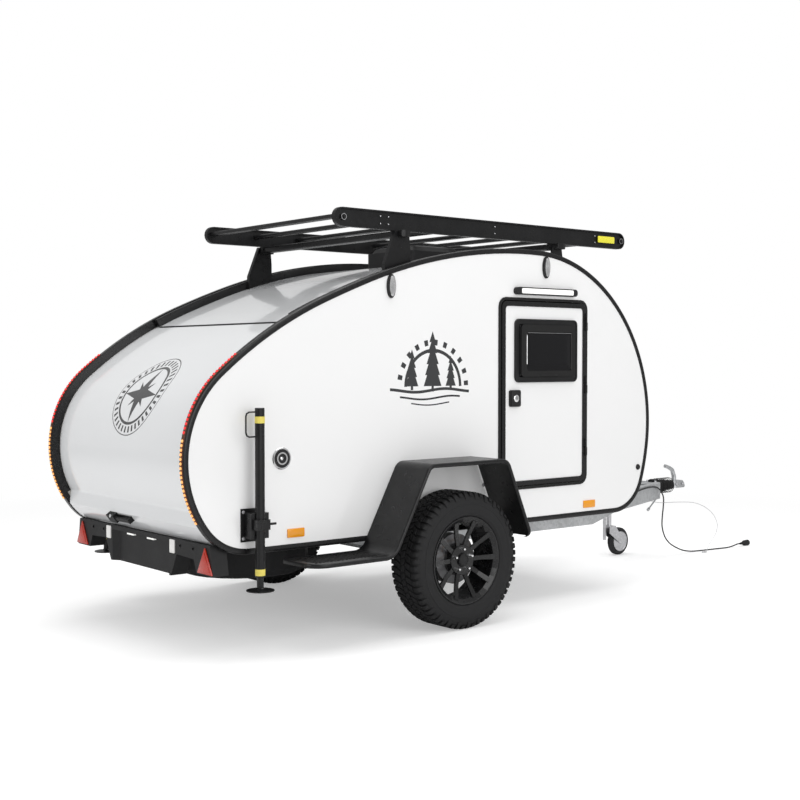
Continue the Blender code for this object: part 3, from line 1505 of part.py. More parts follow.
def build_jockey_wheel(materials):
    hub = (JOCKEY_X + JOCKEY_TRAIL, JOCKEY_Y, JOCKEY_RADIUS)
    half = JOCKEY_WIDTH / 2
    rows = [
        (0.0, half), (0.016, half), (0.018, half - 0.006), (0.058, half - 0.010), (0.064, half - 0.002),
        (JOCKEY_RADIUS - 0.010, half - 0.002), (JOCKEY_RADIUS, half - 0.012),
    ]
    rows += [(radius, -along) for radius, along in reversed(rows)]
    wheel = add_piece(
        "jockey_wheel", lathe(rows, "Y", hub, ROUND_SIDES), materials["rubber"], hub, smooth=True,
    )
    reach = half + RUN - SEAT
    add(wheel, rod((hub[0], hub[1] - reach, hub[2]), (hub[0], hub[1] + reach, hub[2]), JOCKEY_AXLE))


def arm_middle(x):
    """Give the distance from the centre line to a drawbar arm's middle at an X."""
    for (x_0, y_0, _, _), (x_1, y_1, _, _) in zip(ARM_ROWS, ARM_ROWS[1:]):
        if x_0 <= x <= x_1:
            return y_0 + (y_1 - y_0) * (x - x_0) / (x_1 - x_0)
    return ARM_ROWS[-1][1]


def build_leg(side, materials):
    name = side_name(side)
    y = side * LEG_Y
    pivot = (LEG_X, y, FOOT_LOW)
    centre = (LEG_X, y, 0.0)
    rows = [
        (0.0, FOOT_LOW), (FOOT_RADIUS, FOOT_LOW), (FOOT_RADIUS, FOOT_LOW + 0.005),
        (FOOT_STEM + 0.006, FOOT_LOW + 0.012), (FOOT_STEM, FOOT_LOW + 0.016), (FOOT_STEM, LEG_LOW),
        (LEG_RADIUS, LEG_LOW), (LEG_RADIUS, LEG_HIGH), (0.0, LEG_HIGH),
    ]
    leg = add_piece(
        "leg_" + name, lathe(rows, "Z", centre, TUBE_SIDES), materials["black_metal"], pivot, smooth=True,
    )
    reach = LEG_X - LEG_LOOP_REACH
    loop = [(reach + a, y, LEG_HIGH - drop) for a, drop in LEG_LOOP_ROWS]
    loop = [(LEG_X, y, loop[0][2])] + loop + [(LEG_X, y, loop[-1][2])]
    add(leg, sweep(loop, LEG_LOOP_ROD, ROD_SIDES))
    build_leg_bracket(side, centre, materials)


def build_leg_bracket(side, centre, materials):
    """Build the wall plate, the block and the clamp collar that guide a leg."""
    wall = HALF_WIDTH + SEAT
    face = LEG_Y - 0.2 * LEG_RADIUS
    plate = block(
        (BRACKET_BACK_X, BRACKET_FRONT_X), span(side, wall, wall + BRACKET_PLATE),
        (BRACKET_LOW_Z, BRACKET_HIGH_Z),
    )
    bracket = add_piece("leg_bracket_" + side_name(side), plate, materials["black_metal"])
    add(bracket, block(
        (BRACKET_BACK_X + BRACKET_EDGE, BRACKET_FRONT_X - BRACKET_EDGE), span(side, wall + BITE, face),
        (BRACKET_LOW_Z + BRACKET_EDGE, BRACKET_HIGH_Z - BRACKET_EDGE),
    ))
    collar_y = span(side, face - BITE, LEG_Y + LEG_RADIUS + COLLAR_WALL)
    add(bracket, block((LEG_X - COLLAR_HALF, LEG_X + COLLAR_HALF), collar_y, COLLAR_Z))
    bolt_y = side * (LEG_Y + LEG_RADIUS / 2)
    bolt_z = sum(COLLAR_Z) / 2
    start = (LEG_X + COLLAR_HALF - BITE, bolt_y, bolt_z)
    add(bracket, rod(start, (LEG_X + COLLAR_HALF + COLLAR_BOLT_REACH, bolt_y, bolt_z), COLLAR_BOLT))
    low, high = BRACKET_LOW_Z - BRACKET_EDGE, BRACKET_HIGH_Z + BRACKET_EDGE
    hole = rod((*centre[:2], low), (*centre[:2], high), LEG_RADIUS + SEAT, TUBE_SIDES)
    cut(bracket, hole)


def recess_prism(wall, low, front):
    """Make the bumper's recess, grown by a wall, from a height up and from an X inwards."""
    back = BUMPER_X + RECESS_DEPTH + wall
    slope = RECESS_DRAFT / RECESS_DEPTH
    wide = RECESS_HALF + wall + (BUMPER_X - front) * slope
    narrow = RECESS_HALF - RECESS_DRAFT + wall
    plan = [(front, -wide), (front, wide), (back, narrow), (back, -narrow)]
    return prism(plan, "Z", low, RECESS_TOP_Z + wall)


def build_bumper(materials):
    half = list(BUMPER_FACE)
    loop = half + [(-y, z) for y, z in reversed(half)]
    bumper = add_piece(
        "rear_bumper", prism(loop, "X", BUMPER_X, BUMPER_X + BUMPER_DEPTH), materials["black_plastic"],
    )
    hollow = inset_loop(loop, BUMPER_WALL)
    cut(bumper, prism(hollow, "X", BUMPER_X + BUMPER_WALL, BUMPER_X + BUMPER_DEPTH + BITE))
    foot = BUMPER_FACE[0][1]
    add(bumper, recess_prism(BUMPER_WALL, foot + BITE / 2, BUMPER_X + BITE))
    cut(bumper, recess_prism(0.0, foot - 2 * BITE, BUMPER_X - BITE))
    return cut(bumper, body_tool())


def build_spare(materials):
    high = FRAME_TOP
    low = high - SPARE_WIDTH
    centre = (SPARE_X, 0.0, 0.0)
    rows = [(radius, high - drop) for radius, drop in SPARE_ROWS]
    rows += [(radius, low + drop) for radius, drop in reversed(SPARE_ROWS)]
    add_piece(
        "spare_tyre", lathe(rows, "Z", centre, ROUND_SIDES, closed=True), materials["tyre"], smooth=True,
    )
    disc = [(radius, low + rise) for radius, rise in SPARE_DISC]
    rim = add_piece("spare_rim", lathe(disc, "Z", centre, ROUND_SIDES), materials["galvanised"], smooth=True)
    start = low + 0.070
    hanger = [(0.0, start), (SPARE_HANGER, start), (SPARE_HANGER, high), (0.0, high)]
    add(rim, lathe(hanger, "Z", centre, ROD_SIDES))


def smooth_route(route, count):
    """Read evenly numbered points from a smooth curve through a route's own points."""
    points = [Vector(row) for row in route]
    points = [2 * points[0] - points[1]] + points + [2 * points[-1] - points[-2]]
    spans = len(points) - 3
    smooth = []
    for n in range(count):
        place_on = spans * n / (count - 1)
        k = min(int(place_on), spans - 1)
        t = place_on - k
        p_0, p_1, p_2, p_3 = points[k:k + 4]
        smooth.append(0.5 * (
            2 * p_1 + (p_2 - p_0) * t + (2 * p_0 - 5 * p_1 + 4 * p_2 - p_3) * t ** 2
            + (3 * p_1 - p_0 - 3 * p_2 + p_3) * t ** 3
        ))
    return smooth


def add_cord(name, route, radius, count, material):
    curve = bpy.data.curves.new(name, "CURVE")
    curve.dimensions = "3D"
    curve.bevel_depth = radius
    curve.bevel_resolution = 2
    curve.use_fill_caps = True
    spline = curve.splines.new("POLY")
    points = smooth_route(route, count)
    spline.points.add(len(points) - 1)
    for spot, point in zip(spline.points, points):
        spot.co = (*point, 1.0)
    item = bpy.data.objects.new(name, curve)
    bpy.context.scene.collection.objects.link(item)
    curve.materials.append(material)
    item.parent = bpy.data.objects["trailer_origin"]
    return item


def build_cables(materials):
    add_cord("electric_cable", CABLE_ROUTE, CABLE_RADIUS, CABLE_POINTS, materials["cable"])
    add_cord("breakaway_wire", WIRE_ROUTE, WIRE_RADIUS, WIRE_POINTS, materials["zinc"])
    start = Vector(CABLE_ROUTE[-1])
    rows = [(radius, start.x + along) for radius, along in PLUG_ROWS]
    plug = lathe(rows, "X", (0.0, start.y, start.z), TUBE_SIDES)
    add_piece("cable_plug", plug, materials["black_plastic"], smooth=True)

    end = Vector(WIRE_ROUTE[-1])
    loops = []
    for inset in (WIRE_RADIUS + SEAT, WIRE_RADIUS + SEAT + HOOK_ROD):
        half = HOOK_WIDTH / 2 - inset
        loops.append(rounded_rectangle(
            end.x - HOOK_LENGTH + inset, end.x - inset, end.y - half, end.y + half, half - SEAT,
        ))
    low = HOOK_ROD / 4
    hook = band(*loops, "Z", low, low + HOOK_ROD, closed=True)
    add_piece("breakaway_hook", hook, materials["zinc"])


def build_materials():
    rows = (
        ("gelcoat", (0.86, 0.86, 0.86), 0.18, 0.0),
        ("roof_skin", (0.72, 0.73, 0.74), 0.25, 0.0),
        ("hatch_skin", (0.80, 0.81, 0.82), 0.22, 0.0),
        ("black_trim", (0.030, 0.030, 0.032), 0.35, 0.0),
        ("black_rubber", (0.022, 0.022, 0.022), 0.60, 0.0),
        ("black_plastic", (0.030, 0.030, 0.031), 0.50, 0.0),
        ("black_metal", (0.020, 0.020, 0.021), 0.42, 0.2),
        ("black_alloy", (0.012, 0.012, 0.013), 0.25, 0.6),
        ("underbody", (0.060, 0.060, 0.062), 0.80, 0.0),
        ("plywood", (0.62, 0.48, 0.32), 0.60, 0.0),
        ("tinted_acrylic", (0.020, 0.020, 0.022), 0.08, 0.0),
        ("lamp_housing", (0.75, 0.76, 0.78), 0.35, 0.2),
        ("red_lens", (0.75, 0.06, 0.04), 0.25, 0.0),
        ("tyre", (0.045, 0.045, 0.046), 0.85, 0.0),
        ("rubber", (0.060, 0.060, 0.062), 0.80, 0.0),
        ("cast_drum", (0.36, 0.36, 0.36), 0.55, 0.8),
        ("galvanised", (0.62, 0.63, 0.64), 0.45, 0.8),
        ("zinc", (0.72, 0.72, 0.73), 0.32, 0.9),
        ("cable", (0.035, 0.035, 0.036), 0.55, 0.0),
    )
    return {name: make_material(name, *look) for name, *look in rows}


def build_trailer():
    clear_scene()
    origin = bpy.data.objects.new("trailer_origin", None)
    bpy.context.scene.collection.objects.link(origin)
    origin.location = (-ORIGIN_X, 0.0, 0.0)
    materials = build_materials()
    for side in (-1, 1):
        build_side_panel(side, materials)
        build_edge_trim(side, materials)
        build_door(side, materials)
        build_awning_light(side, materials)
        build_light_strip(side, materials)
        build_roof_rail(side, materials)
        build_mudguard(side, materials)
        build_wheel(side, materials)
        build_leg(side, materials)
    build_shell(materials)
    build_hatch(materials)
    build_vent(materials)
    build_rack(materials)
    build_axle(materials)
    build_chassis(materials)
    build_coupling(materials)
    build_jockey(materials)
    build_bumper(materials)
    build_spare(materials)
    build_cables(materials)


build_trailer()
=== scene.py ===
# %% [markdown]
# # A teardrop camping trailer
#
# The trailer's solid pieces come from a CAD model, which is loaded first and never moved. This script
# dresses that model: it gives every piece a finish made of shader nodes, and adds the small things that a
# plain solid lacks, such as tread blocks, lamps, bolts and reflectors.
#
# Everything is in metres. X runs forwards to the tow coupling, Y to the trailer's left and Z up.

# %% Load the frame
import json
import math

import bmesh
import bpy
import numpy as np
from mathutils import Matrix, Vector


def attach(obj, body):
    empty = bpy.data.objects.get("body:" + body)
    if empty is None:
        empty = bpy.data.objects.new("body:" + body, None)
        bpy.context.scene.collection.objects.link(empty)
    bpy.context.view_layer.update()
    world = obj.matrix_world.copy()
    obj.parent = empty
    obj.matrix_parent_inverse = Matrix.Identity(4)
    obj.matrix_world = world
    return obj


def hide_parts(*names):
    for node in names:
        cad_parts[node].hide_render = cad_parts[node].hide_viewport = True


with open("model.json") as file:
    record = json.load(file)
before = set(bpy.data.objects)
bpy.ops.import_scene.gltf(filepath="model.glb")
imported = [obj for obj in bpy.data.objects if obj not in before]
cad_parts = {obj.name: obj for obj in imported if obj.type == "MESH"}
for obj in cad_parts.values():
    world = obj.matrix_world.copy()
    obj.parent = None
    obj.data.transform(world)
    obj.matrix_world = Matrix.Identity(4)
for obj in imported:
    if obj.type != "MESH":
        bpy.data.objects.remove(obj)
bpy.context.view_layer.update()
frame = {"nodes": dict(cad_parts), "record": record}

# %% [markdown]
# Sizes along the trailer are easiest to read from the middle of its axle, where both wheels turn. The
# frame's own origin lies further forward, so one helper turns a place read from the axle into the frame's.

# %% Places read from the axle
AXLE_X = -0.7165938


def at(x, y, z):
    """Give the frame's place of a point whose X is read from the axle."""
    return Vector((x + AXLE_X, y, z))


print("axle at X", round(AXLE_X, 4))

# %% [markdown]
# ## The camera
#
# The trailer is seen from behind and to its right, from a little above the window's lower edge. The
# camera's three axes are written out as vectors, which keeps the view exact and needs no angles.

# %% Camera
VIEW_RIGHT = Vector((0.77352, -0.63376, 0.0))
VIEW_AHEAD = Vector((0.63345, 0.77314, -0.03140))
CAMERA_PLACE = at(-4.3185, -5.6796, 1.3708)
LENS = 56.82
SENSOR = 36.0

ahead = VIEW_AHEAD.normalized()
right = (VIEW_RIGHT - VIEW_RIGHT.dot(ahead) * ahead).normalized()
up = right.cross(ahead)
camera = bpy.data.objects.new("camera", bpy.data.cameras.new("camera"))
bpy.context.scene.collection.objects.link(camera)
turn = Matrix((right, up, -ahead)).transposed().to_4x4()
camera.matrix_world = Matrix.Translation(CAMERA_PLACE) @ turn
camera.data.lens = LENS
camera.data.sensor_width = SENSOR
bpy.context.scene.camera = camera
print("camera at", [round(v, 3) for v in camera.location])

# %% [markdown]
# ## The two cords
#
# A seven-core cable runs along the drawbar, drops to the ground and ends in its plug. A thin steel wire,
# which pulls the brake on if the coupling lets go, hangs beside it and ends in a snap hook. A cord is a
# curve with a round bevel: its points are the route and its thickness is one number. The points come
# from a few chosen ones, joined by a smooth curve that passes through each of them.

# %% Smooth routes
def smooth_route(route, count):
    """Read count evenly numbered points from a smooth curve through a route's own points."""
    points = [Vector(row) for row in route]
    points = [2 * points[0] - points[1]] + points + [2 * points[-1] - points[-2]]
    spans = len(points) - 3
    result = []
    for k in range(count):
        place = spans * k / (count - 1)
        i = min(int(place), spans - 1)
        t = place - i
        a, b, c, d = points[i:i + 4]
        bend = (2 * a - 5 * b + 4 * c - d) * t ** 2 + (3 * b - a - 3 * c + d) * t ** 3
        result.append(0.5 * (2 * b + (c - a) * t + bend))
    return result


def add_cord(name, route, count, radius):
    """Make a cord as a curve with a round bevel and closed ends."""
    curve = bpy.data.curves.new(name, "CURVE")
    curve.dimensions = "3D"
    curve.bevel_depth = 1.0
    curve.bevel_resolution = 4
    curve.use_fill_caps = True
    spline = curve.splines.new("POLY")
    points = smooth_route(route, count)
    spline.points.add(count - 1)
    for point, place in zip(spline.points, points):
        point.co = (place.x + AXLE_X, place.y, place.z, 1.0)
        point.radius = radius
    cord = bpy.data.objects.new(name, curve)
    bpy.context.scene.collection.objects.link(cord)
    length = sum((b - a).length for a, b in zip(points, points[1:]))
    return cord, points[0] + Vector((AXLE_X, 0.0, 0.0)), length


# %% The electric cable and the breakaway wire
CABLE_ROUTE = (
    (1.8800, -0.3500, 0.4780), (2.0000, -0.3058, 0.4920), (2.1730, -0.2424, 0.5080),
    (2.2910, -0.1992, 0.5130), (2.4220, -0.1512, 0.5110), (2.5200, -0.1160, 0.4990),
    (2.5800, -0.1020, 0.4660), (2.6060, -0.1020, 0.4200), (2.6090, -0.0980, 0.3570),
    (2.6080, -0.0910, 0.2870), (2.6130, -0.0850, 0.2300), (2.6300, -0.0800, 0.1860),
    (2.6590, -0.0750, 0.1410), (2.6980, -0.0700, 0.1060), (2.7480, -0.0650, 0.0760),
    (2.8510, -0.0600, 0.0340), (2.9600, -0.0530, 0.0110), (3.0600, -0.0580, 0.0056),
    (3.1290, -0.0670, 0.0055), (3.2130, -0.0770, 0.0055), (3.2810, -0.0870, 0.0055),
    (3.3490, -0.0950, 0.0060), (3.4100, -0.0990, 0.0125), (3.4480, -0.1000, 0.0200),
    (3.4700, -0.1000, 0.0215), (3.4900, -0.1000, 0.0215),
)
WIRE_ROUTE = (
    (2.4500, -0.1120, 0.4128), (2.5000, -0.1110, 0.4000), (2.5600, -0.1100, 0.3910),
    (2.6230, -0.1150, 0.3880), (2.7540, -0.1150, 0.3820), (2.8880, -0.1150, 0.3710),
    (2.9790, -0.1150, 0.3520), (3.0710, -0.1150, 0.3160), (3.1410, -0.1150, 0.2710),
    (3.1810, -0.1150, 0.2240), (3.1980, -0.1150, 0.1780), (3.1820, -0.1150, 0.1300),
    (3.1430, -0.1150, 0.0890), (3.1020, -0.1150, 0.0500), (3.0820, -0.1150, 0.0200),
    (3.0760, -0.1150, 0.0052),
)
CABLE_RADIUS, WIRE_RADIUS = 0.0045, 0.0018
cable, cable_exit, cable_length = add_cord("cable_sheath", CABLE_ROUTE, 150, CABLE_RADIUS)
wire, wire_exit, wire_length = add_cord("wire_rope", WIRE_ROUTE, 110, WIRE_RADIUS)
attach(cable, "trailer")
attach(wire, "trailer")
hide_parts("electric_cable")
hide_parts("breakaway_wire")
print("cable", round(cable_length, 3), "m; wire", round(wire_length, 3), "m")

# %% [markdown]
# ## Floor, backdrop and light
#
# The trailer stands in a plain white studio. The floor is a large plane that is white where nothing
# shades it and keeps the soft shadow under the trailer. The world is white to the camera and a calm grey
# to everything else, so the white comes from the background and not from more light on the object.

# %% Wires and graphs
class Wire:
    """A socket that can stand in an expression, where it adds the Math nodes that the sum needs."""

    def __init__(self, graph, socket):
        self.graph = graph
        self.socket = socket

    def _math(self, operation, a, b=None):
        inputs = {0: a} if b is None else {0: a, 1: b}
        return self.graph.node("ShaderNodeMath", {"operation": operation}, inputs)

    def __add__(self, other):
        return self._math("ADD", self, other)

    def __radd__(self, other):
        return self._math("ADD", other, self)

    def __sub__(self, other):
        return self._math("SUBTRACT", self, other)

    def __rsub__(self, other):
        return self._math("SUBTRACT", other, self)

    def __mul__(self, other):
        return self._math("MULTIPLY", self, other)

    def __rmul__(self, other):
        return self._math("MULTIPLY", other, self)

    def __truediv__(self, other):
        return self._math("DIVIDE", self, other)

    def __gt__(self, other):
        return self._math("GREATER_THAN", self, other)

    def __lt__(self, other):
        return self._math("LESS_THAN", self, other)

    def __abs__(self):
        return self._math("ABSOLUTE", self)

    def sine(self):
        return self._math("SINE", self)

    def root(self):
        return self._math("SQRT", self)


class Graph:
    """A node tree to which one method adds any node."""

    def __init__(self, tree):
        self.tree = tree

    def node(self, kind, settings=None, inputs=None, output=0):
        made = self.tree.nodes.new(kind)
        for name, value in (settings or {}).items():
            setattr(made, name, value)
        for key, value in (inputs or {}).items():
            self.feed(made.inputs[key], value)
        return Wire(self, made.outputs[output])

    def feed(self, socket, value):
        if isinstance(value, Wire):
            self.tree.links.new(value.socket, socket)
        else:
            socket.default_value = value


# %% Paints
class Paint(Graph):
    """A material with one Principled shader, whose looks are set by plain values or by wires."""

    def __init__(self, name, colour, roughness, metallic=0.0, coat=0.0):
        self.material = bpy.data.materials.new(name)
        self.material.use_nodes = True
        super().__init__(self.material.node_tree)
        self.shader = self.tree.nodes["Principled BSDF"]
        self.put("Base Color", (*colour, 1.0))
        self.put("Roughness", roughness)
        self.put("Metallic", metallic)
        self.put("Coat Weight", coat)
        self.shader.inputs["Coat Roughness"].default_value = 0.04
        self.shader.inputs["Specular IOR Level"].default_value = 0.5 if max(colour) > 0.1 else 0.3
        self.material.diffuse_color = (*colour, 1.0)

    def put(self, name, value):
        self.feed(self.shader.inputs[name], value)

    def place(self):
        """Give the object's own coordinates as a vector."""
        return self.node("ShaderNodeTexCoord", output=3)

    def split(self, vector):
        """Give a vector's X, Y and Z."""
        first = self.node("ShaderNodeSeparateXYZ", inputs={0: vector})
        return [Wire(self, socket) for socket in first.socket.node.outputs]

    def noise(self, scale, detail=3.0, rough=0.5):
        """Give a noise from 0 to 1 whose features are 1 / scale metres wide."""
        inputs = {"Vector": self.place(), "Scale": scale, "Detail": detail, "Roughness": rough}
        return self.node("ShaderNodeTexNoise", inputs=inputs)

    def cells(self, scale, output=0):
        """Give a Voronoi pattern: distance with output 0, colour with output 1."""
        inputs = {"Vector": self.place(), "Scale": scale}
        return self.node("ShaderNodeTexVoronoi", inputs=inputs, output=output)

    def between(self, value, low, high, to_low=0.0, to_high=1.0):
        """Map a value from one range to another and clamp it there."""
        inputs = {0: value, 1: low, 2: high, 3: to_low, 4: to_high}
        return self.node("ShaderNodeMapRange", {"clamp": True}, inputs)

    def mix(self, factor, first, second):
        """Mix two colours."""
        first = first if isinstance(first, Wire) else (*first, 1.0)
        second = second if isinstance(second, Wire) else (*second, 1.0)
        inputs = {0: factor, 6: first, 7: second}
        return self.node("ShaderNodeMix", {"data_type": "RGBA"}, inputs, output=2)

    def bump(self, height, strength, distance=0.001):
        """Raise the surface by a height, seen only in the light."""
        inputs = {"Height": height, "Strength": strength, "Distance": distance}
        self.put("Normal", self.node("ShaderNodeBump", inputs=inputs))


print("shader helpers ready")

# %% Floor
FLOOR_REACH = 30.0
FLOOR_LIFT = 0.34
SHADE_SHIFT = 0.35
SHADE_INNER, SHADE_OUTER = 3.2, 6.5

mesh = bpy.data.meshes.new("studio_floor")
corners = [(sx * FLOOR_REACH, sy * FLOOR_REACH, 0.0) for sx, sy in ((-1, -1), (1, -1), (1, 1), (-1, 1))]
mesh.from_pydata(corners, [], [(0, 1, 2, 3)])
floor = bpy.data.objects.new("studio_floor", mesh)
bpy.context.scene.collection.objects.link(floor)

paint = Paint("studio_white", (0.80, 0.80, 0.80), 1.0)
x, y, _ = paint.split(paint.place())
along = x + SHADE_SHIFT
across = (along * along + y * y).root()
far = paint.between(across, SHADE_INNER, SHADE_OUTER)
rays = paint.node("ShaderNodeLightPath")
seen = Wire(paint, rays.socket.node.outputs["Is Camera Ray"])
WHITE = (1.0, 1.0, 1.0, 1.0)
glow = paint.node("ShaderNodeEmission", inputs={"Color": WHITE, "Strength": 1.0})
lift = paint.node("ShaderNodeEmission", inputs={"Color": WHITE, "Strength": FLOOR_LIFT * seen})
near = paint.node("ShaderNodeAddShader", inputs={0: Wire(paint, paint.shader.outputs[0]), 1: lift})
blend = paint.node("ShaderNodeMixShader", inputs={0: far * seen, 1: near, 2: glow})
paint.tree.links.new(blend.socket, paint.tree.nodes["Material Output"].inputs["Surface"])
floor.data.materials.append(paint.material)
print("floor", 2 * FLOOR_REACH, "m square")

# %% World
SKY_STRENGTH = 0.50

world = bpy.data.worlds.new("studio")
bpy.context.scene.world = world
world.use_nodes = True
sky = Graph(world.node_tree)
background = world.node_tree.nodes["Background"]
rays = sky.node("ShaderNodeLightPath")
outputs = rays.socket.node.outputs
direct = Wire(sky, outputs["Is Camera Ray"]) + Wire(sky, outputs["Is Transmission Ray"])
strength = sky.node("ShaderNodeMath", {"operation": "MAXIMUM"}, {0: direct, 1: SKY_STRENGTH})
sky.feed(background.inputs["Color"], WHITE)
sky.feed(background.inputs["Strength"], strength)
bpy.context.scene.view_settings.view_transform = "Standard"
print("world ready")

# %% Lamps
def add_lamp(name, place, target, size, power):
    """Add a square soft box that faces a target."""
    light = bpy.data.lights.new(name, "AREA")
    light.shape = "SQUARE"
    light.size = size
    light.energy = power
    lamp = bpy.data.objects.new(name, light)
    bpy.context.scene.collection.objects.link(lamp)
    place, target = Vector(place), Vector(target)
    turn = (target - place).to_track_quat("-Z", "Y").to_matrix().to_4x4()
    lamp.matrix_world = Matrix.Translation(place) @ turn


add_lamp("soft_box_top", (0.0, 0.0, 6.0), (0.0, 0.0, 0.0), 6.0, 260.0)
add_lamp("soft_box_right", (-1.0, -7.0, 3.0), (0.0, 0.0, 0.9), 5.0, 215.0)
add_lamp("soft_box_rear", (-7.5, 1.0, 2.6), (-1.5, 0.0, 0.9), 4.0, 110.0)

# %% [markdown]
# ## Prints on the body
#
# The walls and the hatch carry dark prints, drawn by shader maths alone. Each wall has three pines in
# front of a half sun, over three contour strokes; the hatch has a compass star in a ring. A print is a mask:
# a wire that is 1 where ink lies and 0 elsewhere, made from places on the surface.

# %% Masks for the prints
INK = (0.028, 0.029, 0.031)


def both(first, second):
    """Give 1 where either mask is 1."""
    return first + second - first * second


def band(value, low, high):
    """Give 1 where a value lies between two limits."""
    return (value > low) * (value < high)


def pine(paint, x, z, centre, foot, height, tiers):
    """Give the mask of a pine: its half width grows in steps from the top down."""
    drop = (foot + height) - z
    step = height / tiers
    part = paint.node("ShaderNodeMath", {"operation": "FRACT"}, {0: drop / step})
    half = 0.17 * drop + 0.22 * step * part
    tree = (abs(x - centre) < half) * band(drop, 0.0, height)
    trunk = (abs(x - centre) < 0.008) * band(drop, height, height * 1.10)
    return both(tree, trunk)


def wall_print(paint, x, z):
    """Give the mask of the wall's print: pines, a half sun and contour strokes."""
    middle, base = at(-0.045, 0.0, 0.0).x, 1.215
    across = x - middle
    sun_x, rise = across - 0.020, z - (base + 0.020)
    far = (sun_x * sun_x + rise * rise).root()
    sun = band(far, 0.178, 0.196) * (rise > 0.0)
    rays = band(far, 0.214, 0.244) * (rise > 0.0)
    angle = paint.node("ShaderNodeMath", {"operation": "ARCTAN2"}, {0: rise, 1: sun_x})
    rays = rays * ((22.0 * angle).sine() > 0.35)
    ink = both(sun, rays)
    for centre, height, tiers in ((-0.125, 0.190, 4.0), (0.015, 0.285, 5.0), (0.140, 0.160, 4.0)):
        ink = both(ink, pine(paint, across, z, centre, base + 0.022, height, tiers))
    for level, reach, wide in ((0.0, 0.270, 0.0075), (-0.038, 0.205, 0.0050), (-0.068, 0.130, 0.0035)):
        wave = z - (base + level) - 0.008 * (16.0 * across + 20.0 * level).sine()
        ink = both(ink, (abs(wave) < wide) * (abs(across) < reach))
    return ink


def points_of_star(across, lift, reach):
    """Give the mask of a four-pointed star."""
    across, lift = abs(across), abs(lift)
    return both(across + 4.4 * lift < reach, lift + 4.4 * across < reach)


def hatch_print(paint, x, y, z):
    """Give the mask of the hatch's print: a compass star in a ring."""
    lift = (z - 1.205) * 0.97 + (x - at(-1.36, 0.0, 0.0).x) * 0.25
    across = y + 0.045
    far = (across * across + lift * lift).root()
    diagonal_a, diagonal_b = 0.7071 * (across + lift), 0.7071 * (across - lift)
    star, small = points_of_star(across, lift, 0.154), points_of_star(diagonal_a, diagonal_b, 0.096)
    angle = paint.node("ShaderNodeMath", {"operation": "ARCTAN2"}, {0: lift, 1: across})
    ring = both(band(far, 0.150, 0.164), band(far, 0.214, 0.219))
    ticks = band(far, 0.172, 0.204) * ((36.0 * angle).sine() > 0.2)
    return both(both(star, small), both(ring, ticks))


print("prints ready")

# %% [markdown]
# ## Finishes
#
# Each finish is one material. Gelcoat is a thin glossy skin on the foam panels: it is nearly flat white,
# with the faint orange peel that any moulded gloss has. The cabin's inside has a matt lining, and since
# wall, roof and hatch are one piece each, the shader tells the inside from the outside: for a side wall by
# how far it is from the middle, for a curved skin by whether the surface looks at the cabin's middle.

# %% Gelcoat skins
LINING = (0.52, 0.50, 0.47)


def orange_peel(paint, strength=0.05):
    """Give a skin the faint waves of a moulded gloss."""
    height = paint.noise(70.0, 2.0) + 0.4 * paint.noise(260.0, 1.0)
    paint.bump(height, strength, 0.0006)


def wall_skin(name, colour, inner):
    """Make a gloss skin outside and a matt lining nearer the middle than inner."""
    paint = Paint(name, colour, 0.16, coat=0.6)
    x, y, z = paint.split(paint.place())
    inside = abs(y) < inner
    tone = paint.between(paint.noise(1.3, 2.0), 0.3, 0.7)
    shade = tuple(0.985 * v for v in colour)
    outer = paint.mix(wall_print(paint, x, z) * (abs(y) > 0.7100), paint.mix(tone, colour, shade), INK)
    paint.put("Base Color", paint.mix(inside, outer, LINING))
    paint.put("Roughness", paint.between(inside, 0.0, 1.0, 0.16, 0.85))
    paint.put("Coat Weight", 0.6 - 0.6 * inside)
    orange_peel(paint)
    return paint.material


def curved_skin(name, colour, printed=False):
    """Make a gloss skin outside and a matt lining on faces that look at the cabin's middle."""
    paint = Paint(name, colour, 0.14, coat=0.7)
    centre = tuple(at(0.1, 0.0, 1.15))
    out = paint.node("ShaderNodeVectorMath", {"operation": "SUBTRACT"}, {0: paint.place(), 1: centre})
    facing = paint.node("ShaderNodeTexCoord", output=1)
    dot = paint.node("ShaderNodeVectorMath", {"operation": "DOT_PRODUCT"}, {0: out, 1: facing}, output=1)
    inside = dot < 0.0
    tone = paint.between(paint.noise(1.1, 2.0), 0.3, 0.7)
    shade = tuple(0.98 * v for v in colour)
    outer = paint.mix(tone, colour, shade)
    if printed:
        outer = paint.mix(hatch_print(paint, *paint.split(paint.place())), outer, INK)
    paint.put("Base Color", paint.mix(inside, outer, LINING))
    paint.put("Roughness", paint.between(inside, 0.0, 1.0, 0.14, 0.85))
    paint.put("Coat Weight", 0.7 - 0.7 * inside)
    orange_peel(paint)
    return paint.material


finishes = {
    "gelcoat": wall_skin("gelcoat_white", (0.86, 0.86, 0.86), 0.6995),
    "roof_skin": curved_skin("roof_skin_grey", (0.72, 0.73, 0.74)),
    "hatch_skin": curved_skin("hatch_skin_grey", (0.80, 0.81, 0.82), printed=True),
}
print(sorted(finishes))

# %% [markdown]
# The black pieces differ mostly in how they break the light. Powder coat has a fine even grain, moulded
# plastic a coarser leathery one, an extruded trim faint lines along its length, and rubber scatters
# nearly everything. A cell pattern makes the grain and the edges of its cells make the height.

# %% Black finishes
def powder_coat():
    """Fine-grained black paint, baked on steel."""
    paint = Paint("powder_coat_black", (0.006, 0.006, 0.007), 0.30)
    tone = paint.between(paint.noise(9.0, 3.0), 0.35, 0.7)
    paint.put("Base Color", paint.mix(tone, (0.006, 0.006, 0.0065), (0.010, 0.010, 0.0105)))
    paint.put("Roughness", paint.between(paint.noise(34.0, 3.0), 0.3, 0.7, 0.26, 0.36))
    paint.bump(paint.noise(900.0, 2.0), 0.12, 0.0004)
    return paint.material


